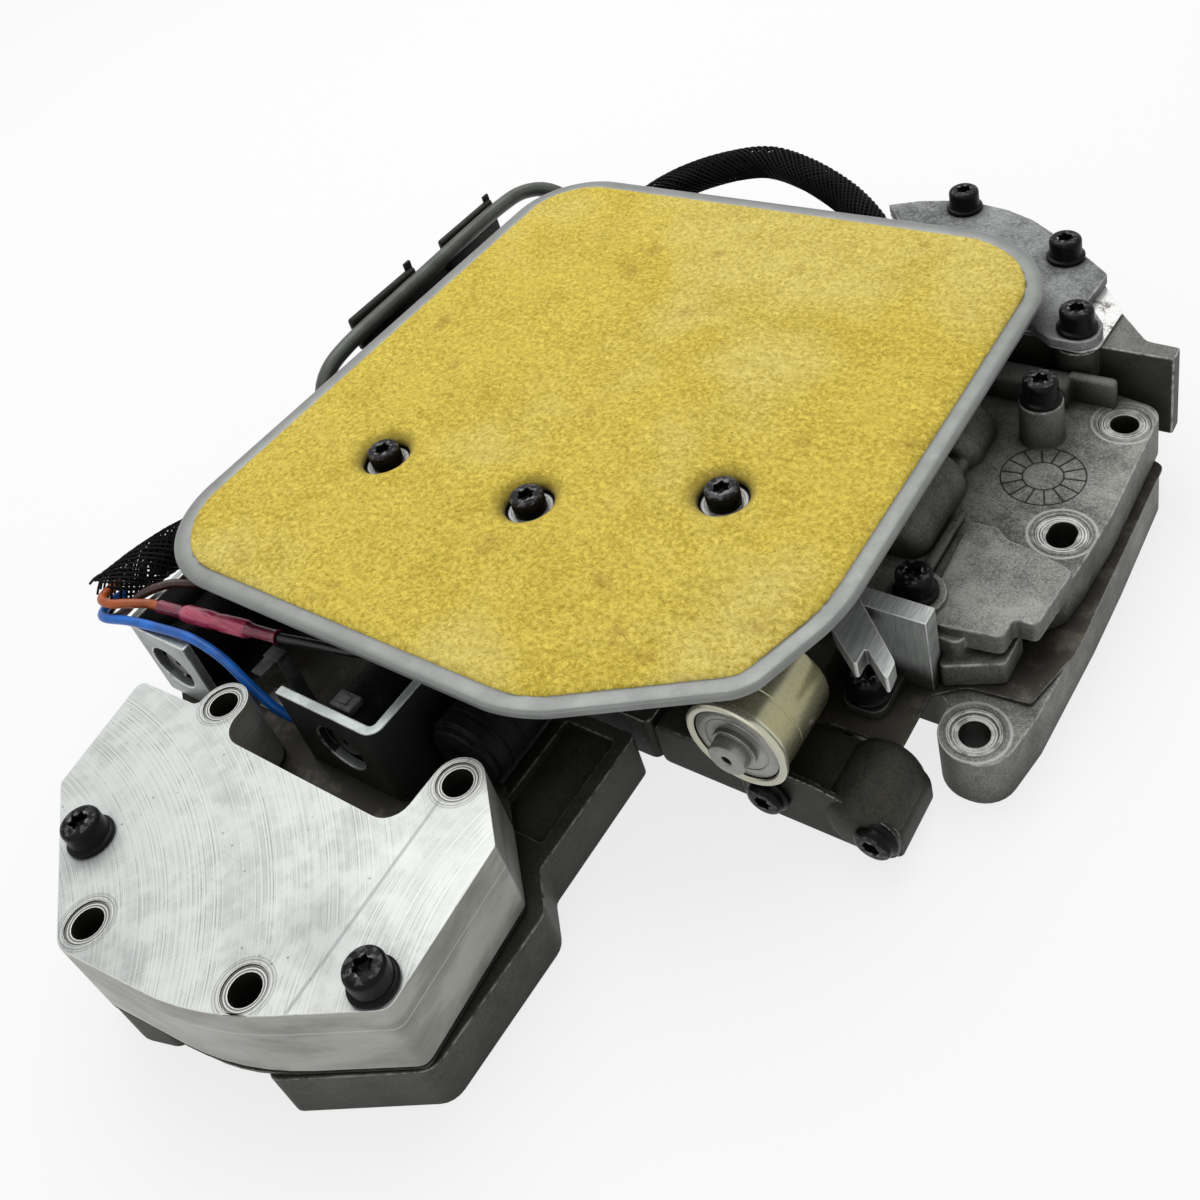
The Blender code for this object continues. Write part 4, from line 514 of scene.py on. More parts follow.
def moulded(name, base_colour, roughness=0.45):
    """Black moulded plastic or rubber, slightly mottled."""
    paint = Finish(name, specular_ior_level=0.1)
    cloud = paint.grain(240, 4.0, 0.6)
    fine = paint.grain(1900, 2.0)
    base = paint.mix(paint.band(cloud, 0.35, 0.75), base_colour, shade_of(base_colour, 2.2))
    worn = paint.mark("worn") * paint.band(cloud, 0.4, 0.6)
    base = paint.mix(worn * 0.4, base, (0.1, 0.1, 0.1))
    return paint.done(base, cloud * 0.25 + roughness - 0.1, fine, 0.00005)


def insulation(name, base_colour):
    """Wire insulation with a film of oil and scuffs."""
    paint = Finish(name, specular_ior_level=0.35, coat_weight=0.15, coat_roughness=0.25)
    cloud = paint.grain(160, 4.0, 0.6)
    scuff = paint.band(paint.grain(700, 3.0), 0.62, 0.72)
    base = paint.mix(paint.band(cloud, 0.3, 0.7), shade_of(base_colour, 0.6), shade_of(base_colour, 1.1))
    base = paint.mix(scuff * 0.12, base, (0.3, 0.3, 0.3))
    return paint.done(base, cloud * 0.3 + 0.24, cloud * 0.6 + scuff * 0.2, 0.0001)


def shrink_sleeve():
    """Translucent pink sleeve of the crimped splice, paler over the barrel."""
    colours = settings("colours")
    paint = Finish("splice_shell", specular_ior_level=0.45, coat_weight=0.35, coat_roughness=0.15)
    cloud = paint.grain(130, 3.0)
    runs = paint.grain(80, 3.0, 0.6, paint.stretched((1.0, 9.0, 9.0), 0.14))
    base = paint.mix(paint.band(cloud * 0.5 + runs * 0.5, 0.38, 0.62), shade_of(colours.splice, 0.3),
                     shade_of(colours.splice, 0.55))
    pale = paint.mix(paint.band(runs, 0.4, 0.65), shade_of(colours.splice, 0.85), (0.58, 0.08, 0.15))
    base = paint.mix(paint.mark("worn"), base, pale)
    return paint.done(base, runs * 0.25 + 0.14, runs, 0.0003)


def brushed_block():
    """Milled clamp block, brushed along its length, near black below a line across it, with painted shade on its side
    faces and in its recesses.
    """
    colours = settings("colours")
    paint = Finish("brushed_aluminium", metallic=0.3, specular_ior_level=0.4)
    lines = paint.grain(150, 4.0, 0.7, paint.stretched((10.0, 0.6, 1.0), -0.83))
    cloud = paint.grain(70, 3.0)
    base = paint.mix(paint.band(lines * 0.7 + cloud * 0.4, 0.4, 0.7), shade_of(colours.milled, 0.9),
                     shade_of(colours.milled, 0.5))
    # painted shade on faces that don't look up
    base = paint.mix((1.0 - paint.mark("top")) * 0.2, base, shade_of(colours.milled, 0.3))
    # painted shade in recesses, where ambient occlusion finds them
    recess_shade = (1.0 - paint.band(paint.open_air(0.006), 0.25, 0.75)) * 0.9
    base = paint.mix(recess_shade, base, colours.oil)
    # near black below about 30 millimetres, darker towards the bottom
    height = paint.node("SeparateXYZ", None, {0: paint.place}, "Z")
    foot = 1.0 - paint.band(height + cloud * 0.006, 0.026, 0.034)
    base = paint.mix(foot * 0.93, base, colours.oil)
    worn = paint.mark("worn") * paint.band(cloud, 0.3, 0.5) * (1.0 - foot * 0.9)
    base = paint.mix(worn, base, colours.bright)
    return paint.done(base, lines * 0.25 + 0.22, lines, 0.00006)


def drawn_can():
    """Yellow chromate on a drawn can, with streaks along it, a gold tint that is partly a painted highlight, and
    painted shade on the faces turned away from the light.
    """
    colours = settings("colours")
    paint = Finish("can_chromate", metallic=0.6, specular_ior_level=0.5)
    streaks = paint.grain(70, 3.0, 0.6, paint.stretched((1.0, 0.12, 1.0)))
    fine = paint.grain(900, 3.0)
    base = paint.mix(paint.band(streaks, 0.38, 0.62), shade_of(colours.chromate, 0.55), shade_of(colours.chromate, 1.35))
    # partly the chromate's gold tint, partly a painted highlight
    gold_tint_and_highlight = paint.band(paint.grain(45, 2.0, 0.5, paint.stretched((1.0, 0.1, 1.0))), 0.5, 0.66)
    base = paint.mix(gold_tint_and_highlight * 0.45, base, (0.42, 0.36, 0.15))
    # painted shade on the faces that the top mark holds as less lit
    base = paint.mix((1.0 - paint.mark("top")) * 0.85, base, shade_of(colours.chromate, 0.16))
    base = paint.mix(paint.band(fine, 0.58, 0.7) * 0.25, base, shade_of(colours.chromate, 0.35))
    # painted shade in recesses, where ambient occlusion finds them
    recess_shade = (1.0 - paint.band(paint.open_air(0.012), 0.3, 0.8)) * 0.8
    base = paint.mix(recess_shade, base, colours.oil)
    base = paint.mix(paint.mark("worn") * 0.8, base, (0.62, 0.62, 0.5))
    return paint.done(base, fine * 0.15 + 0.2, fine * 0.4 + streaks * 0.6, 0.00005)


def polished_shim():
    """Bright shim sheet with dark wear patches."""
    paint = Finish("polished_shim", metallic=0.4)
    patch = paint.band(paint.grain(130, 5.0, 0.75), 0.54, 0.6)
    fine = paint.grain(150, 3.0, 0.6, paint.stretched((1.0, 12.0, 1.0), 0.9))
    base = paint.mix(paint.band(fine, 0.4, 0.7) * 0.3, (0.86, 0.86, 0.85), (0.6, 0.6, 0.6))
    base = paint.mix(patch * 0.85, base, (0.12, 0.1, 0.09))
    return paint.done(base, fine * 0.15 + 0.15 + patch * 0.3, fine, 0.00003)


def finish(name):
    """A finish by name, made the first time that it is asked for."""
    found = bpy.data.materials.get(name)
    if found:
        return found
    colours = settings("colours")
    dark = tuple(colours.casting_dark)
    light = tuple(colours.casting_light)
    makers = {
        # sides is the share of its colour that a casting's faces keep where they don't look up; the rest is painted
        # shade
        "lower_casting": lambda: casting(name, dark, light, sides=0.5, seats=BODY_BOLTS, softness=0.0022,
                                         recess=0.026),
        "bulge_casting": lambda: casting(name, shade_of(dark, 0.7), shade_of(light, 0.5), softness=0.002),
        # painted shade: the upper and accumulator castings are near-black copies of the casting colours, for where
        # they lie in shade under other parts
        "upper_casting": lambda: casting(name, shade_of(dark, 0.16), shade_of(light, 0.15), sides=0.3),
        "accumulator_casting": lambda: casting(name, (0.018, 0.0175, 0.014), (0.075, 0.073, 0.062), 0.5, 0.8, 1.0),
        "rear_casting": lambda: casting(name, shade_of(dark, 0.8), shade_of(light, 0.6), sides=0.22),
        "cover_casting": lambda: casting(name, (0.08, 0.083, 0.083), (0.4, 0.41, 0.41), 0.9, 0.7, sides=0.8),
        "bore_casting": lambda: casting(name, (0.01, 0.01, 0.007), (0.055, 0.053, 0.042), 0.35, softness=0.003),
        "transfer_aluminium": lambda: casting(name, shade_of(dark, 1.6), shade_of(light, 1.05), 0.8, sides=0.7,
                                              seats=BODY_BOLTS[2:]),
        "mould_lines": lambda: casting(name, shade_of(dark, 0.35), shade_of(light, 0.25), 0.2),
        "fly_cut_aluminium": lambda: fly_cut(name, tuple(colours.milled),
                                             ((20.0, -160.0), (230.0, -30.0), (-40.0, 10.0)), BLOCK_BOLTS),
        "brushed_aluminium": brushed_block,
        # painted shade on faces that don't look up: sides=0.6 darkens them on the left frame and the neck, and the
        # right frame's finish paints them nearly black
        "zinc_plate": lambda: plated(name, tuple(colours.zinc), sides=0.6),
        "zinc_plate_painted_shade": lambda: plated(name, tuple(colours.zinc), edge_wear=0.5, sides=0.03),
        # painted shade: the plungers' steel is near black, for where they sit in shade inside the frames
        "plunger_steel_painted_shade": lambda: plated(name, (0.035, 0.035, 0.034), 0.3, 0.4, 0.3),
        "grey_plastic": lambda: moulded(name, (0.06, 0.06, 0.06), 0.4),
        "filter_band": lambda: plated(name, tuple(colours.band), 0.34, 0.45, 0.3, patchy=0.35),
        "washer_steel": lambda: plated(name, (0.5, 0.5, 0.48), 0.26, 0.5),
        "turned_steel": lambda: plated(name, (0.26, 0.26, 0.25), 0.28, 0.5),
        "can_chromate": drawn_can,
        "can_face": lambda: plated(name, (0.3, 0.3, 0.28), 0.3, 0.5),
        "polished_shim": polished_shim,
        "separator_steel": lambda: dark_steel(name, (0.075, 0.071, 0.058), recess=0.014),
        "cover_sheet": lambda: dark_steel(name, (0.017, 0.016, 0.012), 0.42),
        "tube_steel": lambda: plated(name, (0.075, 0.08, 0.07), 0.36, 0.3),
        "brace_steel": lambda: dark_steel(name, (0.02, 0.02, 0.018), 0.5),
        "phosphated_steel": phosphated,
        "needle_felt": needle_felt,
        "gasket_rubber": lambda: moulded(name, (0.008, 0.008, 0.008), 0.7),
        "coil_plastic": lambda: moulded(name, tuple(colours.plastic)),
        "braid_strand": lambda: moulded(name, (0.003, 0.003, 0.0035), 0.62),
        "blue_insulation": lambda: insulation(name, tuple(colours.blue)),
        "orange_insulation": lambda: insulation(name, tuple(colours.orange)),
        "brown_insulation": lambda: insulation(name, tuple(colours.brown)),
        "black_insulation": lambda: insulation(name, (0.006, 0.006, 0.0065)),
        "splice_shell": shrink_sleeve,
    }
    return makers[name]()


# Building pieces

def add_piece(name, shape, look, stands_for=(), body=None, sharp=32.0):
    """Make a finished piece from a bmesh: shaded, coloured, and riding on its body."""
    mesh = bpy.data.meshes.new(name)
    shape.to_mesh(mesh)
    shape.free()
    mesh.polygons.foreach_set("use_smooth", [True] * len(mesh.polygons))
    mesh.set_sharp_from_angle(angle=math.radians(sharp))
    mesh.materials.append(finish(look))
    piece = bpy.data.objects.new(name, mesh)
    bpy.context.scene.collection.objects.link(piece)
    settle_piece(piece, stands_for, body)
    return piece


def settle_piece(piece, stands_for=(), body=None):
    first = stands_for[0] if stands_for else None
    if body is None:
        body = frame["nodes"][first]["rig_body"] if first else "housing"
    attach(piece, body)
    if stands_for:
        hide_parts(*stands_for)


def merged(node):
    """A welded copy of a CAD node's mesh, with its flat faces whole."""
    shape = bmesh.new()
    shape.from_mesh(frame["nodes"][node].data)
    bmesh.ops.remove_doubles(shape, verts=shape.verts, dist=WELD)
    bmesh.ops.dissolve_limit(shape, angle_limit=math.radians(1.0), verts=shape.verts, edges=shape.edges)
    return shape


def round_edges(shape, width, segments=2, angle=38.0):
    """Bevel the outward edges, and mark the new faces as worn."""
    worn = shape.faces.layers.float.get("worn") or shape.faces.layers.float.new("worn")
    edges = []
    for edge in shape.edges:
        if edge.is_manifold and edge.is_convex and edge.calc_face_angle() > math.radians(angle):
            edges.append(edge)
    made = bmesh.ops.bevel(shape, geom=edges, offset=width, offset_type="OFFSET", segments=segments,
                           profile=0.5, affect="EDGES", clamp_overlap=False, material=-1)
    for face in made["faces"]:
        face[worn] = 1.0
    return shape


def mark_faces(shape):
    """Mark the faces that look up, and the walls of the bolt holes."""
    top = shape.faces.layers.float.new("top")
    bore = shape.faces.layers.float.new("bore")
    shape.normal_update()
    for face in shape.faces:
        face[top] = 1.0 if face.normal.z > 0.7 else 0.0
        if abs(face.normal.z) < 0.5:
            middle = face.calc_center_median()
            for x, y in BLOCK_BOLTS + BODY_BOLTS:
                if (middle - spot(x, y, 0)).to_2d().length < 6.3 * MM:
                    face[bore] = 1.0
    return shape


def dress(node, look, width, segments=2):
    """A CAD node's shape with rounded worn edges and its finish."""
    shape = mark_faces(round_edges(merged(node), width, segments))
    piece = add_piece(node + "_dressed", shape, look, (node,))
    weigh = piece.modifiers.new("flat faces", "WEIGHTED_NORMAL")
    weigh.keep_sharp = True
    return piece


def lathe(profile, steps=48):
    """Turned shape about Z from a profile of (radius, height) in millimetres."""
    shape = bmesh.new()
    line = [shape.verts.new((radius * MM, 0.0, height * MM)) for radius, height in profile]
    edges = [shape.edges.new(pair) for pair in zip(line, line[1:])]
    bmesh.ops.spin(shape, geom=line + edges, cent=(0, 0, 0), axis=(0, 0, 1), angle=math.tau, steps=steps,
                   use_merge=True)
    bmesh.ops.remove_doubles(shape, verts=shape.verts, dist=WELD)
    bmesh.ops.recalc_face_normals(shape, faces=shape.faces)
    shape.faces.layers.float.new("worn")
    top = shape.faces.layers.float.new("top")
    for face in shape.faces:
        face[top] = 1.0
    return shape


def put(shape, place, axis=(0, 0, 1)):
    """Move a shape so that its Z runs along the axis from a place."""
    turn = Vector(axis).to_track_quat("Z", "Y").to_matrix().to_4x4()
    bmesh.ops.transform(shape, matrix=Matrix.Translation(place) @ turn, verts=shape.verts)
    return shape


def smooth_route(knots, spacing):
    """Even points along a smooth curve through the knots, the same as in the CAD."""
    points = [Vector(knot) for knot in knots]
    ends = [points[0] * 2 - points[1], *points, points[-1] * 2 - points[-2]]
    fine = []
    for a, b, c, d in zip(ends, ends[1:], ends[2:], ends[3:]):
        for step in range(12):
            t = step / 12
            fine.append(0.5 * (2 * b + (c - a) * t + (2 * a - 5 * b + 4 * c - d) * t ** 2
                               + (3 * b - a - 3 * c + d) * t ** 3))
    fine.append(points[-1])
    total = sum((q - p).length for p, q in zip(fine, fine[1:]))
    count = max(3, round(total / spacing))
    even = [fine[0]]
    walked = 0.0
    for p, q in zip(fine, fine[1:]):
        part = (q - p).length
        while len(even) < count and walked + part >= len(even) * total / count:
            even.append(p.lerp(q, (len(even) * total / count - walked) / part))
        walked += part
    even.append(fine[-1])
    return even


# Oil filter

def filter_corners():
    """Corners of the filter's outline with their radii."""
    return [(0, 0, 34), (157.0, 0, 40), (209.0, 30.5, 14), (219.6, 62.0, 50), (219.6, 234.8, 38),
            (0, 234.8, 29)]


def outline_face(shape, corners, height, segments):
    """A flat face whose corners are rounded by bevelling them one by one."""
    verts = [shape.verts.new(spot(x, y, height)) for x, y, radius in corners]
    face = shape.faces.new(verts)
    for index, vert in enumerate(verts):
        here = Vector(corners[index][:2])
        before = (Vector(corners[index - 1][:2]) - here).normalized()
        after = (Vector(corners[(index + 1) % len(corners)][:2]) - here).normalized()
        reach = corners[index][2] / math.tan(before.angle(after) / 2)
        bmesh.ops.bevel(shape, geom=[vert], offset=reach * MM, offset_type="OFFSET", segments=segments,
                        profile=0.5, affect="VERTICES", clamp_overlap=False, material=-1)
    shape.faces.ensure_lookup_table()
    return shape.faces[0]


def raise_face(shape, face, height, keep=False):
    """Extrude a face straight up or down, and give back its far side."""
    made = bmesh.ops.extrude_face_region(shape, geom=[face])["geom"]
    if not keep:
        bmesh.ops.delete(shape, geom=[face], context="FACES_ONLY")
    verts = [part for part in made if isinstance(part, bmesh.types.BMVert)]
    bmesh.ops.translate(shape, verts=verts, vec=(0, 0, height * MM))
    far = [part for part in made if isinstance(part, bmesh.types.BMFace)][0]
    return far


def corner_weight(x, y):
    """One at a rounded corner of the filter, nought along its straight sides."""
    weight = 0.0
    for cx, cy, radius in filter_corners():
        away = math.hypot(x - cx, y - cy)
        weight = max(weight, 1.0 - min(1.0, away / (radius * 0.95)))
    return min(1.0, weight * 2.2)


def pleat_band(shape, rim_inner):
    """Crimp pleats where the rolled band turns the corners."""
    sizes = settings("band")
    centre = spot(110, 117, 0)
    for vert in rim_inner:
        x = (vert.co.x - PLAN.x) / MM
        y = (vert.co.y - PLAN.y) / MM
        weight = corner_weight(x, y)
        along = math.atan2(y - 117, x - 110)
        fold = noise.noise(Vector((along * 14.0, 0.3, 1.7))) + 0.5 * noise.noise(Vector((along * 31.0, 4.0, 0.2)))
        inward = (centre - vert.co).to_2d().normalized()
        shift = sizes.pleat * fold * (0.12 + weight)
        vert.co.x += inward.x * shift
        vert.co.y += inward.y * shift
        vert.co.z += sizes.crease * noise.noise(Vector((along * 22.0, 2.0, 5.0))) * (0.15 + weight)


def build_filter_pan():
    """Pressed pan with a rolled band round its rim."""
    shape = bmesh.new()
    face = outline_face(shape, filter_corners(), FILTER_TOP - 2.3, 28)
    if face.normal.z < 0:
        bmesh.ops.reverse_faces(shape, faces=[face])
    top = raise_face(shape, face, 1.5, keep=True)
    bottom = min(shape.faces, key=lambda part: part.calc_center_median().z if abs(part.normal.z) > 0.9 else 1.0)
    bmesh.ops.recalc_face_normals(shape, faces=shape.faces)
    inner = []
    for thickness, rise in ((0.35, 0.45), (0.8, 0.3), (1.4, 0.07), (1.9, -0.02), (1.1, -0.2), (0.65, -0.5)):
        bmesh.ops.inset_region(shape, faces=[top], thickness=thickness * MM, depth=rise * MM,
                               use_even_offset=True)
        if thickness in (1.9, 1.1, 0.65):
            inner.extend(top.verts)
    pleat_band(shape, inner)
    top = raise_face(shape, top, -4.35)
    bmesh.ops.inset_region(shape, faces=[bottom], thickness=4.6 * MM, depth=0.0, use_even_offset=True)
    raise_face(shape, bottom, -3.6)
    bmesh.ops.recalc_face_normals(shape, faces=shape.faces)
    mark = shape.faces.layers.float.new("top")
    for face in shape.faces:
        face[mark] = 1.0
    return add_piece("filter_pan_band", shape, "filter_band", ("filter_pan",), sharp=50.0)


def build_felt():
    """Felt pad: the CAD felt made of small cells, sunk at its edge, uneven, and soft round its dips."""
    sizes = settings("felt")
    mesh = frame["nodes"]["filter_felt"].data.copy()
    shape = bmesh.new()
    shape.from_mesh(mesh)
    bmesh.ops.remove_doubles(shape, verts=shape.verts, dist=WELD)
    shape.to_mesh(mesh)
    shape.free()
    piece = bpy.data.objects.new("filter_felt_pad", mesh)
    bpy.context.scene.collection.objects.link(piece)
    cells = piece.modifiers.new("cells", "REMESH")
    cells.mode = "VOXEL"
    cells.voxel_size = sizes.cell
    seen = piece.evaluated_get(bpy.context.evaluated_depsgraph_get())
    soft = bpy.data.meshes.new_from_object(seen)
    piece.modifiers.clear()
    piece.data = soft

    edge = filter_outline_points(6.5)
    nearest = kdtree.KDTree(len(edge))
    for index, point in enumerate(edge):
        nearest.insert(point, index)
    nearest.balance()
    shape = bmesh.new()
    shape.from_mesh(soft)
    for turn in range(3):
        bmesh.ops.smooth_vert(shape, verts=shape.verts, factor=0.5, use_axis_x=True, use_axis_y=True,
                              use_axis_z=True)
    low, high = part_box("filter_felt")
    middle = (low.z + high.z) / 2
    heart = spot(110, 117, 0)
    for vert in shape.verts:
        flat = Vector((vert.co.x, vert.co.y, 0.0))
        away = nearest.find(flat)[2]
        if away < sizes.tuck * 3.0:
            vert.co += (flat - heart).to_2d().normalized().to_3d() * (sizes.tuck - away / 3.0)
        if vert.co.z < middle:
            continue
        share = (vert.co.z - middle) / (high.z - middle)
        fall = sizes.edge_fall * math.exp(-((away / sizes.fall_reach) ** 2))
        swell = noise.noise(flat * 45) * 0.6 + noise.noise(flat * 140) * 0.3
        fuzz = noise.noise(vert.co * 900) * 0.00012
        vert.co.z -= share * fall + share * sizes.swell * (1.0 - swell) * 0.5 - share * fuzz
    shape.to_mesh(soft)
    shape.free()
    soft.polygons.foreach_set("use_smooth", [True] * len(soft.polygons))
    soft.materials.clear()
    soft.materials.append(finish("needle_felt"))
    settle_piece(piece, ("filter_felt",))
    return piece


def filter_outline_points(inward):
    """Points along the filter's outline moved inward, flat, in world metres."""
    shape = bmesh.new()
    face = outline_face(shape, filter_corners(), 0.0, 24)
    bmesh.ops.inset_region(shape, faces=[face], thickness=inward * MM, use_even_offset=True)
    corners = [vert.co.copy() for vert in face.verts]
    shape.free()
    points = []
    for here, after in zip(corners, corners[1:] + corners[:1]):
        count = max(1, round((after - here).length / 0.001))
        points.extend(here.lerp(after, step / count) for step in range(count))
    return [Vector((point.x, point.y, 0.0)) for point in points]


# Screws

def lobed(turn, reach):
    return reach * (0.885 + 0.115 * math.cos(6 * turn))


def socket_pit(shape, reach, depth):
    """Six-lobed socket sunk from the open rim of a turned head."""
    worn = shape.faces.layers.float.get("worn")
    rim = [edge for edge in shape.edges if edge.is_boundary]
    steps = ((1.0, 0.0, True, 1.0), (0.96, -0.25, True, 1.0), (0.94, -depth, True, 0.0),
             (0.35, -depth - 0.9, False, 0.0))
    for share, sink, has_lobes, rub in steps:
        made = bmesh.ops.extrude_edge_only(shape, edges=rim)["geom"]
        rim = [part for part in made if isinstance(part, bmesh.types.BMEdge) and part.is_boundary]
        verts = {vert for edge in rim for vert in edge.verts}
        top = max(vert.co.z for vert in shape.verts)
        for vert in verts:
            turn = math.atan2(vert.co.y, vert.co.x)
            away = lobed(turn, reach) * share if has_lobes else reach * share
            vert.co.x = away * MM * math.cos(turn)
            vert.co.y = away * MM * math.sin(turn)
            vert.co.z = top + sink * MM
        for part in made:
            if isinstance(part, bmesh.types.BMFace):
                part[worn] = rub
    bmesh.ops.holes_fill(shape, edges=[edge for edge in shape.edges if edge.is_boundary], sides=0)
    bmesh.ops.recalc_face_normals(shape, faces=shape.faces)
    return shape


def flanged_head(head, shank):
    """Flanged screw, seat at nought, open at the rim of its socket."""
    top = 1.7 + head
    return [(0, -shank), (2.6, -shank), (3.0, 0.4 - shank), (3.0, 0), (5.7, 0), (6.15, 0.15), (6.2, 0.5),
            (6.2, 1.05), (6.05, 1.3), (5.5, 1.5), (5.24, 1.65), (5.16, 2.0), (5.2, top - 2.3), (5.15, top - 1.5),
            (4.95, top - 0.8), (4.5, top - 0.3), (4.0, top - 0.06), (3.3, top), (2.75, top)]


def socket_head(head, shank):
    """Plain socket screw, seat at nought, open at the rim of its socket."""
    return [(0, -shank), (2.6, -shank), (3.0, 0.4 - shank), (3.0, 0), (4.8, 0), (5.0, 0.2), (5.0, head - 1.0),
            (4.92, head - 0.6), (4.6, head - 0.2), (4.2, head), (3.6, head), (3.3, head - 0.1)]


def build_screw(node, profile, reach=2.6, depth=3.0):
    """One screw on the place and axis of its CAD node."""
    low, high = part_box(node)
    shape = socket_pit(lathe(profile, 60), reach, depth)
    worn = shape.faces.layers.float.get("worn")
    full = max(vert.co.z for vert in shape.verts)
    bmesh.ops.scale(shape, verts=shape.verts, vec=HEAD_SQUAT)
    top = full * HEAD_SQUAT[2]
    # the outer rim on top of the head is marked worn: partly wear, partly a painted highlight
    for face in shape.faces:
        middle = face.calc_center_median()
        if middle.z > top - 0.35 * MM and middle.to_2d().length > reach * MM:
            face[worn] = max(face[worn], 0.35)
    centre = (low + high) / 2
    if node.startswith("end_cover"):
        put(shape, Vector((centre.x, low.y + full, 11.0 * MM)), (0, -1, 0))
    else:
        put(shape, Vector((centre.x, centre.y, high.z - full)))
    return add_piece(node + "_head", shape, "phosphated_steel", (node,), sharp=40.0)


def build_washer(node):
    low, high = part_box(node)
    shape = lathe([(3.4, 0.0), (7.0, 0.0), (7.2, 0.15), (7.2, 0.6), (6.95, 0.8), (6.1, 0.8), (5.95, 0.68),
                   (5.7, 0.68), (5.55, 0.8), (3.6, 0.8), (3.4, 0.6), (3.4, 0.0)])
    put(shape, Vector(((low.x + high.x) / 2, (low.y + high.y) / 2, low.z)))
    return add_piece(node + "_ring", shape, "washer_steel", (node,))


def build_spring():
    """Coil spring of the accumulator, which in the valve body shortens by the piston's travel as the piston rises;
    here it is a copy on a mesh of its own.
    """
    piece = add_piece("accumulator_coil", merged("accumulator_spring"), "turned_steel", ("accumulator_spring",))
    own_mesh(piece)
    return piece


# Solenoids

def build_coil(side):
    """Bobbin with flanges, wound turns and taped middle."""
    node = "solenoid_coil_" + side
    low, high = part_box(node)
    radius = (high.x - low.x) / 2 / MM
    long = (high.y - low.y) / MM
    bore = 6.0
    profile = [(bore, 0), (radius - 0.4, 0), (radius, 0.4), (radius, 1.6), (radius - 0.3, 2.0),
               (radius - 1.5, 2.0)]
    turns = int((long - 4.6) / 0.9)
    for turn in range(turns):
        start = 2.3 + turn * 0.9
        profile.extend([(radius - 1.5, start), (radius - 1.15, start + 0.2), (radius - 1.15, start + 0.65),
                        (radius - 1.5, start + 0.85)])
    profile.extend([(radius - 1.5, long - 2.0), (radius - 0.3, long - 2.0), (radius, long - 1.6),
                    (radius, long - 0.4), (radius - 0.4, long), (bore, long), (bore, 0)])
    shape = put(lathe(profile, 56), Vector(((low.x + high.x) / 2, low.y, (low.z + high.z) / 2)), (0, 1, 0))
    return add_piece(node + "_wound", shape, "coil_plastic", (node,))


def build_plunger(side):
    node = "solenoid_plunger_" + side
    low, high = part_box(node)
    radius = (high.x - low.x) / 2 / MM
    long = (high.y - low.y) / MM
    profile = [(0, 2.0), (0.9, 2.0), (1.0, 0.1), (1.15, 0), (radius - 0.7, 0), (radius - 0.1, 0.5),
               (radius, 0.8), (radius, 4.0), (radius - 0.25, 4.2), (radius - 0.25, 4.8), (radius, 5.0),
               (radius, long - 0.3), (radius - 0.3, long), (0, long)]
    shape = put(lathe(profile, 48), Vector(((low.x + high.x) / 2, low.y, (low.z + high.z) / 2)), (0, 1, 0))
    return add_piece(node + "_turned", shape, "plunger_steel_painted_shade", (node,))


def build_can():
    """Drawn can of the pressure solenoid with its rolled rim, and the stepped end inside it."""
    low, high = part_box("pressure_solenoid_can")
    centre = Vector(((low.x + high.x) / 2, low.y, (low.z + high.z) / 2))
    radius = 14.3
    long = (high.y - low.y) / MM
    profile = [(12.9, 0.6), (13.2, 0.2), (13.8, 0), (14.7, 0.05), (15.2, 0.5), (15.3, 1.0), (15.2, 1.6),
               (14.8, 2.1), (14.4, 2.4), (radius, 3.2), (radius, 9.4), (radius - 0.18, 9.6),
               (radius - 0.18, 10.4), (radius, 10.6), (radius, long - 2.2), (radius - 0.6, long - 0.8),
               (radius - 2, long), (5.4, long), (5.4, long - 6), (12.9, long - 6), (12.9, 0.6)]
    shape = lathe(profile, 72)
    rim = shape.faces.layers.float.get("worn")
    for face in shape.faces:
        face[rim] = 1.0 if face.calc_center_median().z < 3.1 * MM else 0.0
    put(shape, centre, (0, 1, 0))
    # painted light and shade: the top mark holds how far each face is turned up and to the right, and the can's
    # finish darkens the rest
    shape.normal_update()
    lit = shape.faces.layers.float.get("top")
    for face in shape.faces:
        face[lit] = min(1.0, max(0.0, face.normal.z * 1.1 + face.normal.x * 0.45 + 0.15))
    add_piece("pressure_can", shape, "can_chromate", ("pressure_solenoid_can",))
    low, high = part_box("pressure_solenoid_end")
    start = Vector((centre.x, low.y, centre.z))
    long = (high.y - low.y) / MM
    profile = [(1.5, 0.4), (1.7, 0.1), (2.0, 0), (5.2, 0), (5.5, 0.2), (5.6, 0.6), (5.6, 3.7), (5.75, 3.8),
               (6.4, 3.8), (6.6, 4.0), (6.6, 5.4), (6.9, 5.5), (9.2, 5.5), (9.35, 5.3), (9.6, 5.3), (9.75, 5.5),
               (12.2, 5.5), (12.6, 5.7), (12.6, long), (1.5, long), (1.5, 0.4)]
    shape = put(lathe(profile, 72), start, (0, 1, 0))
    add_piece("pressure_nozzle", shape, "can_face", ("pressure_solenoid_end",))


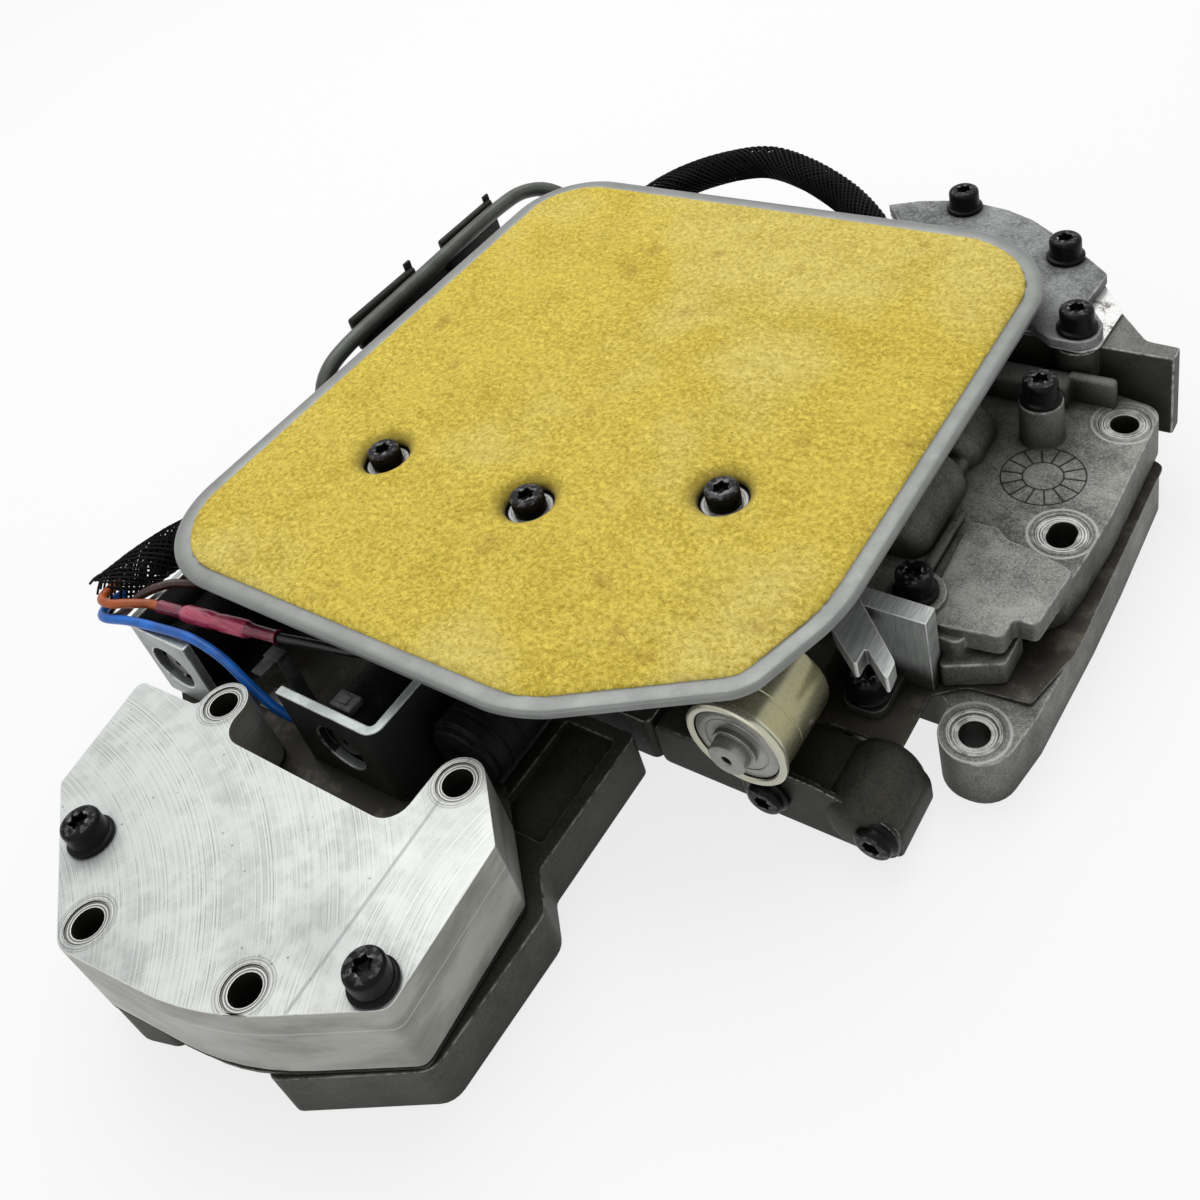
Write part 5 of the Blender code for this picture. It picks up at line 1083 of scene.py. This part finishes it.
def build_round_solenoid():
    """Round black solenoid body with a stepped face and moulded ribs."""
    low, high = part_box("lockup_solenoid")
    radius = (high.x - low.x) / 2 / MM
    long = (high.y - low.y) / MM
    profile = [(0, 1.6), (3.6, 1.6), (4.0, 1.3), (4.0, 0.3), (4.3, 0), (radius - 1.9, 0), (radius - 1.4, 0.5),
               (radius - 1.4, 2.1), (radius - 1.2, 2.4), (radius - 0.4, 2.4), (radius, 2.8)]
    for start in (6.0, 12.0, 18.0, 24.0):
        profile.extend([(radius, start), (radius - 0.5, start + 0.3), (radius - 0.5, start + 1.4),
                        (radius, start + 1.7)])
    profile.extend([(radius, long - 1.0), (radius - 1.0, long), (0, long)])
    shape = put(lathe(profile, 60), Vector(((low.x + high.x) / 2, low.y, (low.z + high.z) / 2)), (0, 1, 0))
    return add_piece("lockup_solenoid_body", shape, "coil_plastic", ("lockup_solenoid",))


# Marks on the lower casting

def build_lower_housing():
    """Lower casting; its bore barrels end under the cast bulges that stand for their outsides."""
    shape = merged("lower_housing")
    for vert in shape.verts:
        x = (vert.co.x - PLAN.x) / MM
        y = (vert.co.y - PLAN.y) / MM
        z = vert.co.z / MM
        from_axis, floor = min((math.hypot(y - axis, z - BORE_HEIGHT), floor) for axis, floor in VALVE_BORES)
        if z > LOWER_TOP - 0.1 and 205.0 < x < 217.0 and BORE_RADIUS + 0.6 < from_axis < 11.3:
            vert.co.x -= 9.0 * MM
        elif from_axis < BORE_RADIUS and floor + 3.0 < x < 217.0:
            vert.co.x -= 3.5 * MM
    shape = mark_faces(round_edges(shape, settings("edges").casting, 2))
    piece = add_piece("lower_housing_dressed", shape, "lower_casting", ("lower_housing",))
    weigh = piece.modifiers.new("flat faces", "WEIGHTED_NORMAL")
    weigh.keep_sharp = True
    return piece


def hump(shape, x, start, end, height, radius, sink):
    """Add one bulge along Y to a shape: a round bar with domed ends, half sunk in the casting."""
    long = end - start
    dome = radius * 0.55
    profile = [(0, 0)]
    for step in range(1, 7):
        turn = math.pi / 2 * step / 6
        profile.append((radius - dome + dome * math.sin(turn), dome - dome * math.cos(turn)))
    for step in range(6, 0, -1):
        turn = math.pi / 2 * step / 6
        profile.append((radius - dome + dome * math.sin(turn), long - dome + dome * math.cos(turn)))
    profile.append((0, long))
    bar = put(lathe(profile, 48), spot(x, start, height - sink), (0, 1, 0))
    for axis, floor in VALVE_BORES:
        if start < axis < end and x > 150.0:
            bar = drilled(bar, (180.0, axis, BORE_HEIGHT), BORE_RADIUS + 0.15, floor - 179.9)
    mesh = bpy.data.meshes.new("bar")
    bar.to_mesh(mesh)
    bar.free()
    shape.from_mesh(mesh)
    bpy.data.meshes.remove(mesh)


def drilled(shape, start, radius, depth):
    """A shape with a round hole along X, so that a valve slides through it freely."""
    pair = []
    drill = put(lathe([(0, 0), (radius, 0), (radius, depth), (0, depth)], 32), spot(*start), (1, 0, 0))
    for part in (shape, drill):
        mesh = bpy.data.meshes.new("drilling")
        part.to_mesh(mesh)
        part.free()
        pair.append(bpy.data.objects.new("drilling", mesh))
        bpy.context.scene.collection.objects.link(pair[-1])
    cut = pair[0].modifiers.new("hole", "BOOLEAN")
    cut.object = pair[1]
    cut.solver = "EXACT"
    done = bpy.data.meshes.new_from_object(pair[0].evaluated_get(bpy.context.evaluated_depsgraph_get()))
    made = bmesh.new()
    made.from_mesh(done)
    for piece in pair:
        bpy.data.objects.remove(piece)
    bpy.data.meshes.remove(done)
    return made


def build_bulges():
    """Cast bulges over the valve bores, and the raised rib and shelf before the rear flange."""
    shape = bmesh.new()
    shape.faces.layers.float.new("worn")
    shape.faces.layers.float.new("top")
    hump(shape, 203.4, 153.0, 176.5, LOWER_TOP + 1.0, 11.4, 0)
    hump(shape, 203.2, 112.0, 150.0, LOWER_TOP + 1.0, 12.4, 0)
    box_into(shape, (198.0, 147.0, 30.0), (212.4, 156.0, 38.5), 2.4, 4)
    box_into(shape, (229.0, 195.0, 30.0), (244.6, 199.0, 44.2), 1.7, 4)
    box_into(shape, (203.0, 189.4, 30.0), (230.6, 199.0, 43.6), 2.4, 4)
    box_into(shape, (216.4, 108.5, 30.0), (219.8, 133.5, 36.2), 0.8, 3)
    # the top mark sets painted shade: faces that don't look up keep only part of their colour
    top = shape.faces.layers.float.get("top")
    for face in shape.faces:
        face[top] = 1.0 if face.normal.z > 0.3 else 0.4
    return add_piece("cast_bulges", shape, "bulge_casting", body="housing", sharp=50.0)


def build_bore_barrel():
    """Round outside of the valve bore behind the end cover."""
    shape = bmesh.new()
    shape.faces.layers.float.new("worn")
    shape.faces.layers.float.new("top")
    hump(shape, 227.0, 36.5, 62.6, 11.2, 11.0, 0)
    # the top mark sets painted shade: faces that don't look up keep only part of their colour
    top = shape.faces.layers.float.get("top")
    for face in shape.faces:
        face[top] = 1.0 if face.normal.z > 0.2 else 0.3
    return add_piece("bore_barrel", shape, "bore_casting", body="housing", sharp=50.0)


def build_date_wheel():
    """Plain ringed wheel with radial divisions, as a pattern maker's date clock leaves."""
    shape = bmesh.new()
    centre = spot(234.4, 158.6, LOWER_TOP)
    outer = 12.7
    inner = 6.1
    half = 0.3
    high = 0.16
    for radius in (outer, inner):
        ring = lathe([(radius - half, -0.1), (radius - half * 0.4, high), (radius + half * 0.4, high),
                      (radius + half, -0.1), (radius - half, -0.1)], 72)
        mesh = bpy.data.meshes.new("ring")
        put(ring, centre).to_mesh(mesh)
        ring.free()
        shape.from_mesh(mesh)
        bpy.data.meshes.remove(mesh)
    for count in range(14):
        turn = math.tau * (count + 0.35) / 14
        middle = (outer + inner) / 2
        bar = bmesh.ops.create_cube(shape, size=1.0)["verts"]
        bmesh.ops.scale(shape, verts=bar, vec=((outer - inner) * MM, 0.45 * MM, 0.24 * MM))
        bmesh.ops.translate(shape, verts=bar, vec=(middle * MM, 0, 0))
        bmesh.ops.rotate(shape, verts=bar, cent=(0, 0, 0), matrix=Matrix.Rotation(turn, 3, "Z"))
        bmesh.ops.translate(shape, verts=bar, vec=centre)
    return add_piece("date_wheel", shape, "mould_lines", body="housing")


# Wiring

def frames_along(route):
    """Each point of a route with two directions across it that don't spin."""
    across = (route[1] - route[0]).normalized().orthogonal().normalized()
    carried = []
    for index, point in enumerate(route):
        ahead = (route[min(index + 1, len(route) - 1)] - route[max(index - 1, 0)]).normalized()
        across = (across - ahead * across.dot(ahead)).normalized()
        carried.append((point, across.copy(), ahead.cross(across)))
    return carried


def strands_shape(splines, radius, rings=0):
    """Round strands along lists of points, as one bmesh."""
    curve = bpy.data.curves.new("strands", "CURVE")
    curve.dimensions = "3D"
    curve.bevel_depth = radius
    curve.bevel_resolution = rings
    curve.use_fill_caps = True
    for points in splines:
        spline = curve.splines.new("POLY")
        spline.points.add(len(points) - 1)
        for point, here in zip(spline.points, points):
            point.co = (*here, 1.0)
    holder = bpy.data.objects.new("strands", curve)
    bpy.context.scene.collection.objects.link(holder)
    bpy.context.view_layer.update()
    mesh = bpy.data.meshes.new_from_object(holder.evaluated_get(bpy.context.evaluated_depsgraph_get()))
    bpy.data.objects.remove(holder)
    bpy.data.curves.remove(curve)
    shape = bmesh.new()
    shape.from_mesh(mesh)
    bpy.data.meshes.remove(mesh)
    bmesh.ops.remove_doubles(shape, verts=shape.verts, dist=WELD)
    bmesh.ops.recalc_face_normals(shape, faces=shape.faces)
    return shape


def braid_strands(route, radius, strands, pitch, frayed=0.0, seed=1):
    """Centrelines of the strands of a braided sleeve along a route in metres."""
    draws = random.Random(seed)
    spine = frames_along(route)
    walked = [0.0]
    for here, after in zip(route, route[1:]):
        walked.append(walked[-1] + (after - here).length)
    splines = []
    for way, offset in ((1, 0.0), (-1, 0.00035)):
        for strand in range(strands):
            start = math.tau * strand / strands
            wander = draws.random() * 9.0
            last = len(spine)
            if frayed:
                last -= draws.randrange(0, 4)
            points = []
            for index in range(last):
                here, side, up = spine[index]
                turn = way * math.tau * walked[index] / pitch + start
                turn += 0.10 * noise.noise(Vector((walked[index] * 60, wander, 0.0)))
                away = radius - offset - 0.0003
                if frayed:
                    left = (walked[-1] - walked[index]) / 0.012
                    away += frayed * max(0.0, 1.0 - left) ** 2 * (0.4 + 0.6 * noise.noise(Vector((wander, 1.0, 2.0))))
                points.append(here + (side * math.cos(turn) + up * math.sin(turn)) * away)
            splines.append(points)
    return splines


def in_metres(route):
    return [spot(*point) for point in route]


def harness_route():
    low = LOWER_TOP + 0.3 + 6.4
    return [(40, 186, low), (36, 200, low), (33, 212, low + 3), (33, 224, 47), (36, 236, 53), (43, 247, 57),
            (55, 257, 60.5), (71, 264, 63.5), (86, 266, 65), (104, 262, 64), (122, 255, 61), (135, 247, 58),
            (144, 239, 54), (149, 228, 48), (150, 215, 43), (148, 201, low), (147, 186, low)]


def build_harness():
    """Braided harness arching out behind the filter, over a bundle of wires."""
    sizes = settings("braid")
    knots = harness_route()
    coarse = in_metres(smooth_route(knots, 10.0))
    fine = in_metres(smooth_route(knots, 1.6))
    splines = braid_strands(fine, 0.0064, sizes.strands, sizes.pitch)
    shape = strands_shape(splines, sizes.strand)
    spine = frames_along(fine[::3])
    bundle = []
    for wire in range(4):
        points = []
        for index, (here, side, up) in enumerate(spine):
            turn = math.tau * wire / 4 + index * 0.16
            points.append(here + (side * math.cos(turn) + up * math.sin(turn)) * 0.0027)
        bundle.append(points)
    core = strands_shape(bundle, 0.0021, 3)
    mesh = bpy.data.meshes.new("core")
    core.to_mesh(mesh)
    core.free()
    shape.from_mesh(mesh)
    bpy.data.meshes.remove(mesh)
    piece = add_piece("harness_braid", shape, "braid_strand", ("harness_sleeve",), sharp=60.0)
    return piece


def build_cable_sleeve():
    """Cut end of the second braided sleeve, frayed at its mouth."""
    sizes = settings("braid")
    top = FRAME_TOP
    knots = [(14, 74, PLATE_TOP + 7.5), (4, 60, PLATE_TOP + 11.5), (-7, 42, top - 9), (-11, 24, top - 2),
             (-13, 6, top + 0.5), (-14.5, -9, top)]
    coarse = in_metres(smooth_route(knots, 10.0))
    fine = in_metres(smooth_route(knots, 1.6))
    splines = braid_strands(fine, 0.0072, sizes.strands, sizes.pitch * 0.9, sizes.fray, 5)
    shape = strands_shape(splines, sizes.strand)
    spine = frames_along(fine[:-9:3])
    bundle = []
    for wire in range(5):
        points = []
        for index, (here, side, up) in enumerate(spine):
            turn = math.tau * wire / 5 + index * 0.12
            points.append(here + (side * math.cos(turn) + up * math.sin(turn)) * 0.0035)
        bundle.append(points)
    core = strands_shape(bundle, 0.0019, 3)
    mesh = bpy.data.meshes.new("core")
    core.to_mesh(mesh)
    core.free()
    shape.from_mesh(mesh)
    bpy.data.meshes.remove(mesh)
    piece = add_piece("cable_braid", shape, "braid_strand", ("cable_sleeve",), sharp=60.0)
    return piece


def build_oil_tube():
    """Bent oil tube along the filter's left side, as a smooth round tube."""
    level = (PLATE_TOP + LOWER_TOP) / 2
    side = -18.6
    route = [(29.7, 97, level), (18, 97, level), (2, 95, level + 3), (-11, 93, 38), (side + 2, 95, 47),
             (side, 103, 56), (side, 118, 60), (side, 150, 61), (side, 190, 62), (side, 214, 62),
             (side + 2, 228, 61), (side + 9, 237, 57), (4, 239, 48), (18, 235, 38), (32, 226, 30),
             (38, 216, level), (39, 203.8, level)]
    shape = strands_shape([in_metres(smooth_route(route, 3.0))], 0.0031, 6)
    return add_piece("oil_tube_bent", shape, "tube_steel", ("oil_tube",), sharp=60.0)


def box_into(shape, low, high, rounding, segments=3):
    """Add a rounded box between two plan positions to a shape."""
    first = spot(*low)
    size = spot(*high) - first
    made = bmesh.ops.create_cube(shape, size=1.0)["verts"]
    bmesh.ops.scale(shape, verts=made, vec=size)
    bmesh.ops.translate(shape, verts=made, vec=first + size / 2)
    edges = list({edge for vert in made for edge in vert.link_edges})
    bmesh.ops.bevel(shape, geom=edges, offset=rounding * MM, offset_type="OFFSET", segments=segments,
                    profile=0.5, affect="EDGES", clamp_overlap=True, material=-1)


def build_brace():
    """Sheet brace beside the oil tube: a foot on the casting and two upright tabs with curled tips."""
    shape = bmesh.new()
    shape.faces.layers.float.new("worn")
    box_into(shape, (-25.2, 127.0, 30.7), (29.6, 201.0, 31.8), 0.3)
    box_into(shape, (-25.2, 127.0, 30.7), (-24.0, 201.0, 53.6), 0.3)
    box_into(shape, (-25.2, 125.0, 50.0), (-22.2, 163.0, 64.6), 1.2)
    box_into(shape, (-25.2, 180.0, 50.0), (-22.2, 214.0, 65.2), 1.2)
    box_into(shape, (-25.2, 159.5, 62.0), (-23.9, 163.2, 67.4), 0.4)
    box_into(shape, (-25.2, 211.0, 62.0), (-23.9, 214.4, 67.4), 0.4)
    return add_piece("tube_brace_sheet", shape, "brace_steel", ("tube_brace",))


def build_tabs():
    """Small terminals and strips that show between the solenoid frames."""
    shape = bmesh.new()
    shape.faces.layers.float.new("worn")
    box_into(shape, (56.4, -1.4, 18.9), (57.4, 3.2, 43.6), 0.3)
    box_into(shape, (50.2, -1.4, 42.6), (57.4, 3.2, 43.6), 0.3)
    box_into(shape, (51.2, -7.4, 42.6), (56.0, 0.0, 43.5), 0.3)
    add_piece("wire_guide", shape, "grey_plastic", body="housing")
    shape = bmesh.new()
    shape.faces.layers.float.new("worn")
    box_into(shape, (39.5, -6.0, 18.9), (60.0, 1.4, 19.7), 0.25)
    add_piece("spring_strip", shape, "washer_steel", body="housing")
    shape = bmesh.new()
    shape.faces.layers.float.new("worn")
    box_into(shape, (88.4, -8.2, 45.2), (96.6, -2.2, 48.2), 0.7)
    box_into(shape, (90.4, -6.6, 47.6), (94.4, -3.6, 48.9), 0.4)
    add_piece("coil_terminal", shape, "grey_plastic", body="housing")


def splice_ends():
    height = FRAME_TOP + 2.2
    return Vector((10.0, -4.7, height)), Vector((59.0, 2.0, height))


def wire_routes():
    """Each wire's finish, knots in millimetres and spacing, as in the CAD."""
    top = FRAME_TOP
    over = top + 1.8
    start, end = splice_ends()
    along = (end - start).normalized()
    blue = [(-12, -4, top - 1), (-12, -11, top - 0.4), (-7, -15.2, top + 1), (4, -13.2, over + 0.2),
            (16, -11.2, over + 0.2), (31, -9.6, over), (43, -9.4, top - 2), (52, -10, top - 10),
            (60, -9.4, top - 19), (65, -5, top - 26), (67.5, 4, PLATE_TOP + 1.5)]
    orange = [(-12.5, -3, top + 3.2), (-11, -10.8, top + 4.4), (-5.5, -12.2, top + 5), (0, -9.2, top + 4.2),
              start - along * 5, start - along * 2, start - along * 0.3]
    brown = [(-14.5, -3, top - 2.6), (-13.6, -10.6, top - 3.6), (-9.5, -12.8, top - 3.4),
             (-4.6, -10, top - 1), (-1, -3.4, top + 2), (5, 3.4, top + 2.4), (11, 8, top),
             (15, 13, COIL_TOP + 1.5)]
    black = [end + along * 0.3, end + along * 3, (68, 3.8, top + 2), (77, 5.8, top + 1.4),
             (84, 8.4, top - 0.4), (90, 12, COIL_TOP + 2.0)]
    return {"wire_blue": ("blue_insulation", blue, 5.0), "wire_orange": ("orange_insulation", orange, 4.0),
            "wire_brown": ("brown_insulation", brown, 4.0), "wire_black": ("black_insulation", black, 5.0)}


def build_wire(node, look, knots, spacing):
    """One wire as a curve along its route."""
    route = in_metres(smooth_route(knots, spacing / 3))
    curve = bpy.data.curves.new(node + "_lead", "CURVE")
    curve.dimensions = "3D"
    curve.bevel_depth = 0.0015
    curve.bevel_resolution = 5
    curve.use_fill_caps = True
    spline = curve.splines.new("POLY")
    spline.points.add(len(route) - 1)
    spline.use_smooth = True
    for point, here in zip(spline.points, route):
        point.co = (*here, 1.0)
    curve.materials.append(finish(look))
    piece = bpy.data.objects.new(node + "_lead", curve)
    bpy.context.scene.collection.objects.link(piece)
    settle_piece(piece, (node,))
    return piece


def build_splice():
    """Crimped splice: a translucent sleeve, necked at both ends, round a metal barrel."""
    start, end = splice_ends()
    span = end - start
    long = span.length
    middle = long / 2
    outer = [(1.35, 0.0), (1.75, 0.0), (2.2, 0.2), (2.2, 1.2), (2.05, 2.0), (2.1, middle - 15.5),
             (2.2, middle - 14.6), (2.6, middle - 13.6), (2.9, middle - 12.4), (2.9, middle - 2.5),
             (2.72, middle - 1.2), (2.68, middle), (2.72, middle + 1.2), (2.9, middle + 2.5),
             (2.9, middle + 11.5), (2.7, middle + 12.8), (2.3, middle + 14.0), (2.1, middle + 15.0),
             (2.0, long - 3.4), (2.05, long - 1.6), (2.35, long - 0.2), (2.2, long), (1.6, long - 0.1),
             (1.45, long - 1.2), (1.4, middle + 13), (2.2, middle + 10.5), (2.2, middle - 10.5),
             (1.4, middle - 13), (1.35, 0.0)]
    shape = lathe(outer, 40)
    pale = shape.faces.layers.float.get("worn")
    for face in shape.faces:
        face[pale] = 1.0 if abs(face.calc_center_median().z / MM - middle) < 13.0 else 0.0
    put(shape, spot(*start), span)
    add_piece("crimp_splice_shell", shape, "splice_shell", ("crimp_splice",))
    barrel = [(1.3, middle - 9.5), (2.0, middle - 9.5), (2.1, middle - 9.2), (2.1, middle - 1.4),
              (1.8, middle - 0.6), (1.8, middle + 0.6), (2.1, middle + 1.4), (2.1, middle + 9.2),
              (2.0, middle + 9.5), (1.3, middle + 9.5), (1.3, middle - 9.5)]
    shape = put(lathe(barrel, 32), spot(*start), span)
    add_piece("crimp_barrel", shape, "turned_steel", body="housing")


# Stage

def seen_directly(tree):
    """One for what the camera, a reflection or a clear surface shows, nought for light."""
    path = tree.nodes.new("ShaderNodeLightPath")
    seen = Amount(tree, path.outputs["Is Camera Ray"]) + Amount(tree, path.outputs["Is Glossy Ray"])
    seen = seen + Amount(tree, path.outputs["Is Transmission Ray"])
    return seen.worked("MINIMUM", seen, 1.0)


def build_stage():
    """Pale floor, soft light and the camera at the photograph's viewing angle."""
    stage = settings("stage")
    scene = bpy.context.scene
    scene.view_settings.view_transform = "Standard"

    eye = bpy.data.cameras.new("camera")
    eye.sensor_width = 36.0
    eye.lens = stage.lens
    eye.shift_x = -0.0497
    eye.shift_y = -0.1823
    eye.clip_start = 0.01
    camera = bpy.data.objects.new("camera", eye)
    turn = (Matrix.Rotation(math.radians(42.053), 4, "Z") @ Matrix.Rotation(math.radians(53.401), 4, "X")
            @ Matrix.Rotation(math.radians(-15.282), 4, "Z"))
    camera.matrix_world = Matrix.Translation(spot(346.78, -123.34, 318.85)) @ turn
    scene.collection.objects.link(camera)
    scene.camera = camera

    for name, power, size, place in (("key", stage.key_power, 1.1, (-0.35, 0.4, 1.1)),
                                     ("fill", stage.fill_power, 0.7, (0.1, -0.9, 0.6))):
        lamp = bpy.data.lights.new(name, "AREA")
        lamp.energy = power
        lamp.size = size
        light = bpy.data.objects.new(name, lamp)
        light.location = place
        light.rotation_euler = (-Vector(place)).to_track_quat("-Z", "Y").to_euler()
        scene.collection.objects.link(light)

    world = scene.world or bpy.data.worlds.new("world")
    scene.world = world
    world.use_nodes = True
    tree = world.node_tree
    sky = tree.nodes["Background"]
    sky.inputs["Color"].default_value = (1, 1, 1, 1)
    strength = seen_directly(tree) * (1.0 - stage.sky) + stage.sky
    tree.links.new(strength.socket, sky.inputs["Strength"])

    shape = bmesh.new()
    bmesh.ops.create_circle(shape, cap_ends=True, radius=4.0, segments=64)
    mesh = bpy.data.meshes.new("floor")
    shape.to_mesh(mesh)
    shape.free()
    paint = Finish("floor", roughness=0.6)
    soft = paint.grain(3.0, 2.0)
    paint.done(paint.mix(soft * 0.1, tuple(stage.floor), shade_of(stage.floor, 0.97)))
    glow = paint.tree.nodes.new("ShaderNodeEmission")
    both = paint.tree.nodes.new("ShaderNodeMixShader")
    paint.set(both.inputs[0], seen_directly(paint.tree) * stage.floor_glow)
    paint.tree.links.new(paint.shader.outputs[0], both.inputs[1])
    paint.tree.links.new(glow.outputs[0], both.inputs[2])
    paint.tree.links.new(both.outputs[0], paint.tree.nodes["Material Output"].inputs["Surface"])
    mesh.materials.append(paint.material)
    floor = bpy.data.objects.new("floor", mesh)
    floor.location.z = -0.0004
    scene.collection.objects.link(floor)


# Operators, one for each group of pieces

class VALVEBODY_OT_stage(Operator):
    """Add the floor, the lights and the camera"""
    bl_idname = "valve_body.stage"
    bl_label = "Stage"

    def execute(self, context):
        build_stage()
        return {"FINISHED"}


class VALVEBODY_OT_filter(Operator):
    """Add the filter's rolled pan, felt, washers and screws"""
    bl_idname = "valve_body.filter"
    bl_label = "Oil Filter"

    def execute(self, context):
        build_filter_pan()
        build_felt()
        for index in (1, 2, 3):
            build_washer(f"filter_washer_{index}")
            build_screw(f"filter_screw_{index}", socket_head(6.4, 12.0))
        dress("filter_neck", "zinc_plate", settings("edges").sheet)
        return {"FINISHED"}


class VALVEBODY_OT_base(Operator):
    """Dress the castings under the separator plate, and the plate"""
    bl_idname = "valve_body.base"
    bl_label = "Base Castings"

    def execute(self, context):
        edges = settings("edges")
        dress("accumulator_housing", "accumulator_casting", edges.casting)
        dress("upper_housing", "upper_casting", edges.casting)
        dress("transfer_plate", "transfer_aluminium", edges.casting)
        dress("separator_plate", "separator_steel", edges.sheet)
        dress("bore_housing", "bore_casting", edges.casting)
        build_bore_barrel()
        dress("end_cover", "cover_sheet", edges.milled)
        return {"FINISHED"}


class VALVEBODY_OT_cover_block(Operator):
    """Dress the fly-cut cover block, its gasket and the accumulator inside it"""
    bl_idname = "valve_body.cover_block"
    bl_label = "Cover Block"

    def execute(self, context):
        edges = settings("edges")
        dress("cover_block", "fly_cut_aluminium", edges.milled)
        dress("cover_gasket", "gasket_rubber", edges.sheet)
        dress("accumulator_piston", "turned_steel", edges.milled)
        build_spring()
        return {"FINISHED"}


class VALVEBODY_OT_housings(Operator):
    """Dress the lower and rear castings, the shim, the rear cover and the valves"""
    bl_idname = "valve_body.housings"
    bl_label = "Valve Housings"

    def execute(self, context):
        edges = settings("edges")
        build_lower_housing()
        build_bulges()
        build_date_wheel()
        dress("rear_housing", "rear_casting", edges.casting)
        dress("shim_plate", "polished_shim", edges.sheet)
        dress("rear_cover", "cover_casting", edges.casting)
        dress("manual_valve", "turned_steel", edges.milled)
        dress("shift_valve", "turned_steel", edges.milled)
        return {"FINISHED"}


class VALVEBODY_OT_screws(Operator):
    """Add the flanged screws"""
    bl_idname = "valve_body.screws"
    bl_label = "Flanged Screws"

    def execute(self, context):
        for node in ("cover_screw_left", "cover_screw_right", "rear_cover_screw_1", "rear_cover_screw_2",
                     "rear_cover_screw_3", "housing_screw_rear", "housing_screw_front"):
            build_screw(node, flanged_head(7.6, 12.0))
        build_screw("clamp_screw", flanged_head(7.6, 2.4))
        for node in ("end_cover_screw_1", "end_cover_screw_2"):
            build_screw(node, flanged_head(3.0, 7.0), depth=2.2)
        return {"FINISHED"}


class VALVEBODY_OT_solenoids(Operator):
    """Add the strap frames, coils, plungers, the drawn can and the round solenoid"""
    bl_idname = "valve_body.solenoids"
    bl_label = "Solenoids"

    def execute(self, context):
        for side in ("left", "right"):
            # the right frame's finish paints its side faces nearly black as shade
            look = "zinc_plate_painted_shade" if side == "right" else "zinc_plate"
            dress("solenoid_frame_" + side, look, settings("edges").strap, 3)
            build_coil(side)
            build_plunger(side)
        build_tabs()
        build_can()
        dress("pressure_spool", "turned_steel", settings("edges").milled)
        build_round_solenoid()
        return {"FINISHED"}


class VALVEBODY_OT_clamp(Operator):
    """Dress the clamp block and its clip"""
    bl_idname = "valve_body.clamp"
    bl_label = "Clamp Block"

    def execute(self, context):
        dress("clamp_block", "brushed_aluminium", settings("edges").milled)
        dress("retaining_clip", "brace_steel", settings("edges").sheet)
        return {"FINISHED"}


class VALVEBODY_OT_pipework(Operator):
    """Dress the oil tube and its brace"""
    bl_idname = "valve_body.pipework"
    bl_label = "Pipework"

    def execute(self, context):
        build_oil_tube()
        build_brace()
        return {"FINISHED"}


class VALVEBODY_OT_wiring(Operator):
    """Add the braided sleeves, the wires and the crimped splice"""
    bl_idname = "valve_body.wiring"
    bl_label = "Wiring"

    def execute(self, context):
        build_harness()
        build_cable_sleeve()
        for node, (look, knots, spacing) in wire_routes().items():
            build_wire(node, look, knots, spacing)
        build_splice()
        return {"FINISHED"}


class VALVEBODY_PT_panel(Panel):
    """Pieces of the valve body, in the order that they are made"""
    bl_idname = "VALVEBODY_PT_panel"
    bl_label = "Valve Body"
    bl_space_type = "VIEW_3D"
    bl_region_type = "UI"
    bl_category = "Valve Body"

    def draw(self, context):
        for operator in OPERATORS:
            self.layout.operator(operator.bl_idname)


OPERATORS = (VALVEBODY_OT_stage, VALVEBODY_OT_filter, VALVEBODY_OT_base, VALVEBODY_OT_cover_block,
             VALVEBODY_OT_housings, VALVEBODY_OT_screws, VALVEBODY_OT_solenoids, VALVEBODY_OT_clamp,
             VALVEBODY_OT_pipework, VALVEBODY_OT_wiring)
GROUPS = {"edges": EdgeSizes, "colours": FinishColours, "felt": FeltSizes, "band": BandSizes,
          "braid": BraidSizes, "stage": StageSettings}


def register():
    for group in GROUPS.values():
        bpy.utils.register_class(group)
    for name, group in GROUPS.items():
        setattr(bpy.types.Scene, "valve_body_" + name, PointerProperty(type=group))
    for operator in OPERATORS:
        bpy.utils.register_class(operator)
    bpy.utils.register_class(VALVEBODY_PT_panel)


def unregister():
    bpy.utils.unregister_class(VALVEBODY_PT_panel)
    for operator in reversed(OPERATORS):
        bpy.utils.unregister_class(operator)
    for name in GROUPS:
        delattr(bpy.types.Scene, "valve_body_" + name)
    for group in reversed(list(GROUPS.values())):
        bpy.utils.unregister_class(group)


def main():
    register()
    for operator in OPERATORS:
        getattr(bpy.ops.valve_body, operator.bl_idname.split(".")[1])()
    bpy.context.view_layer.update()


if __name__ == "__main__":
    main()
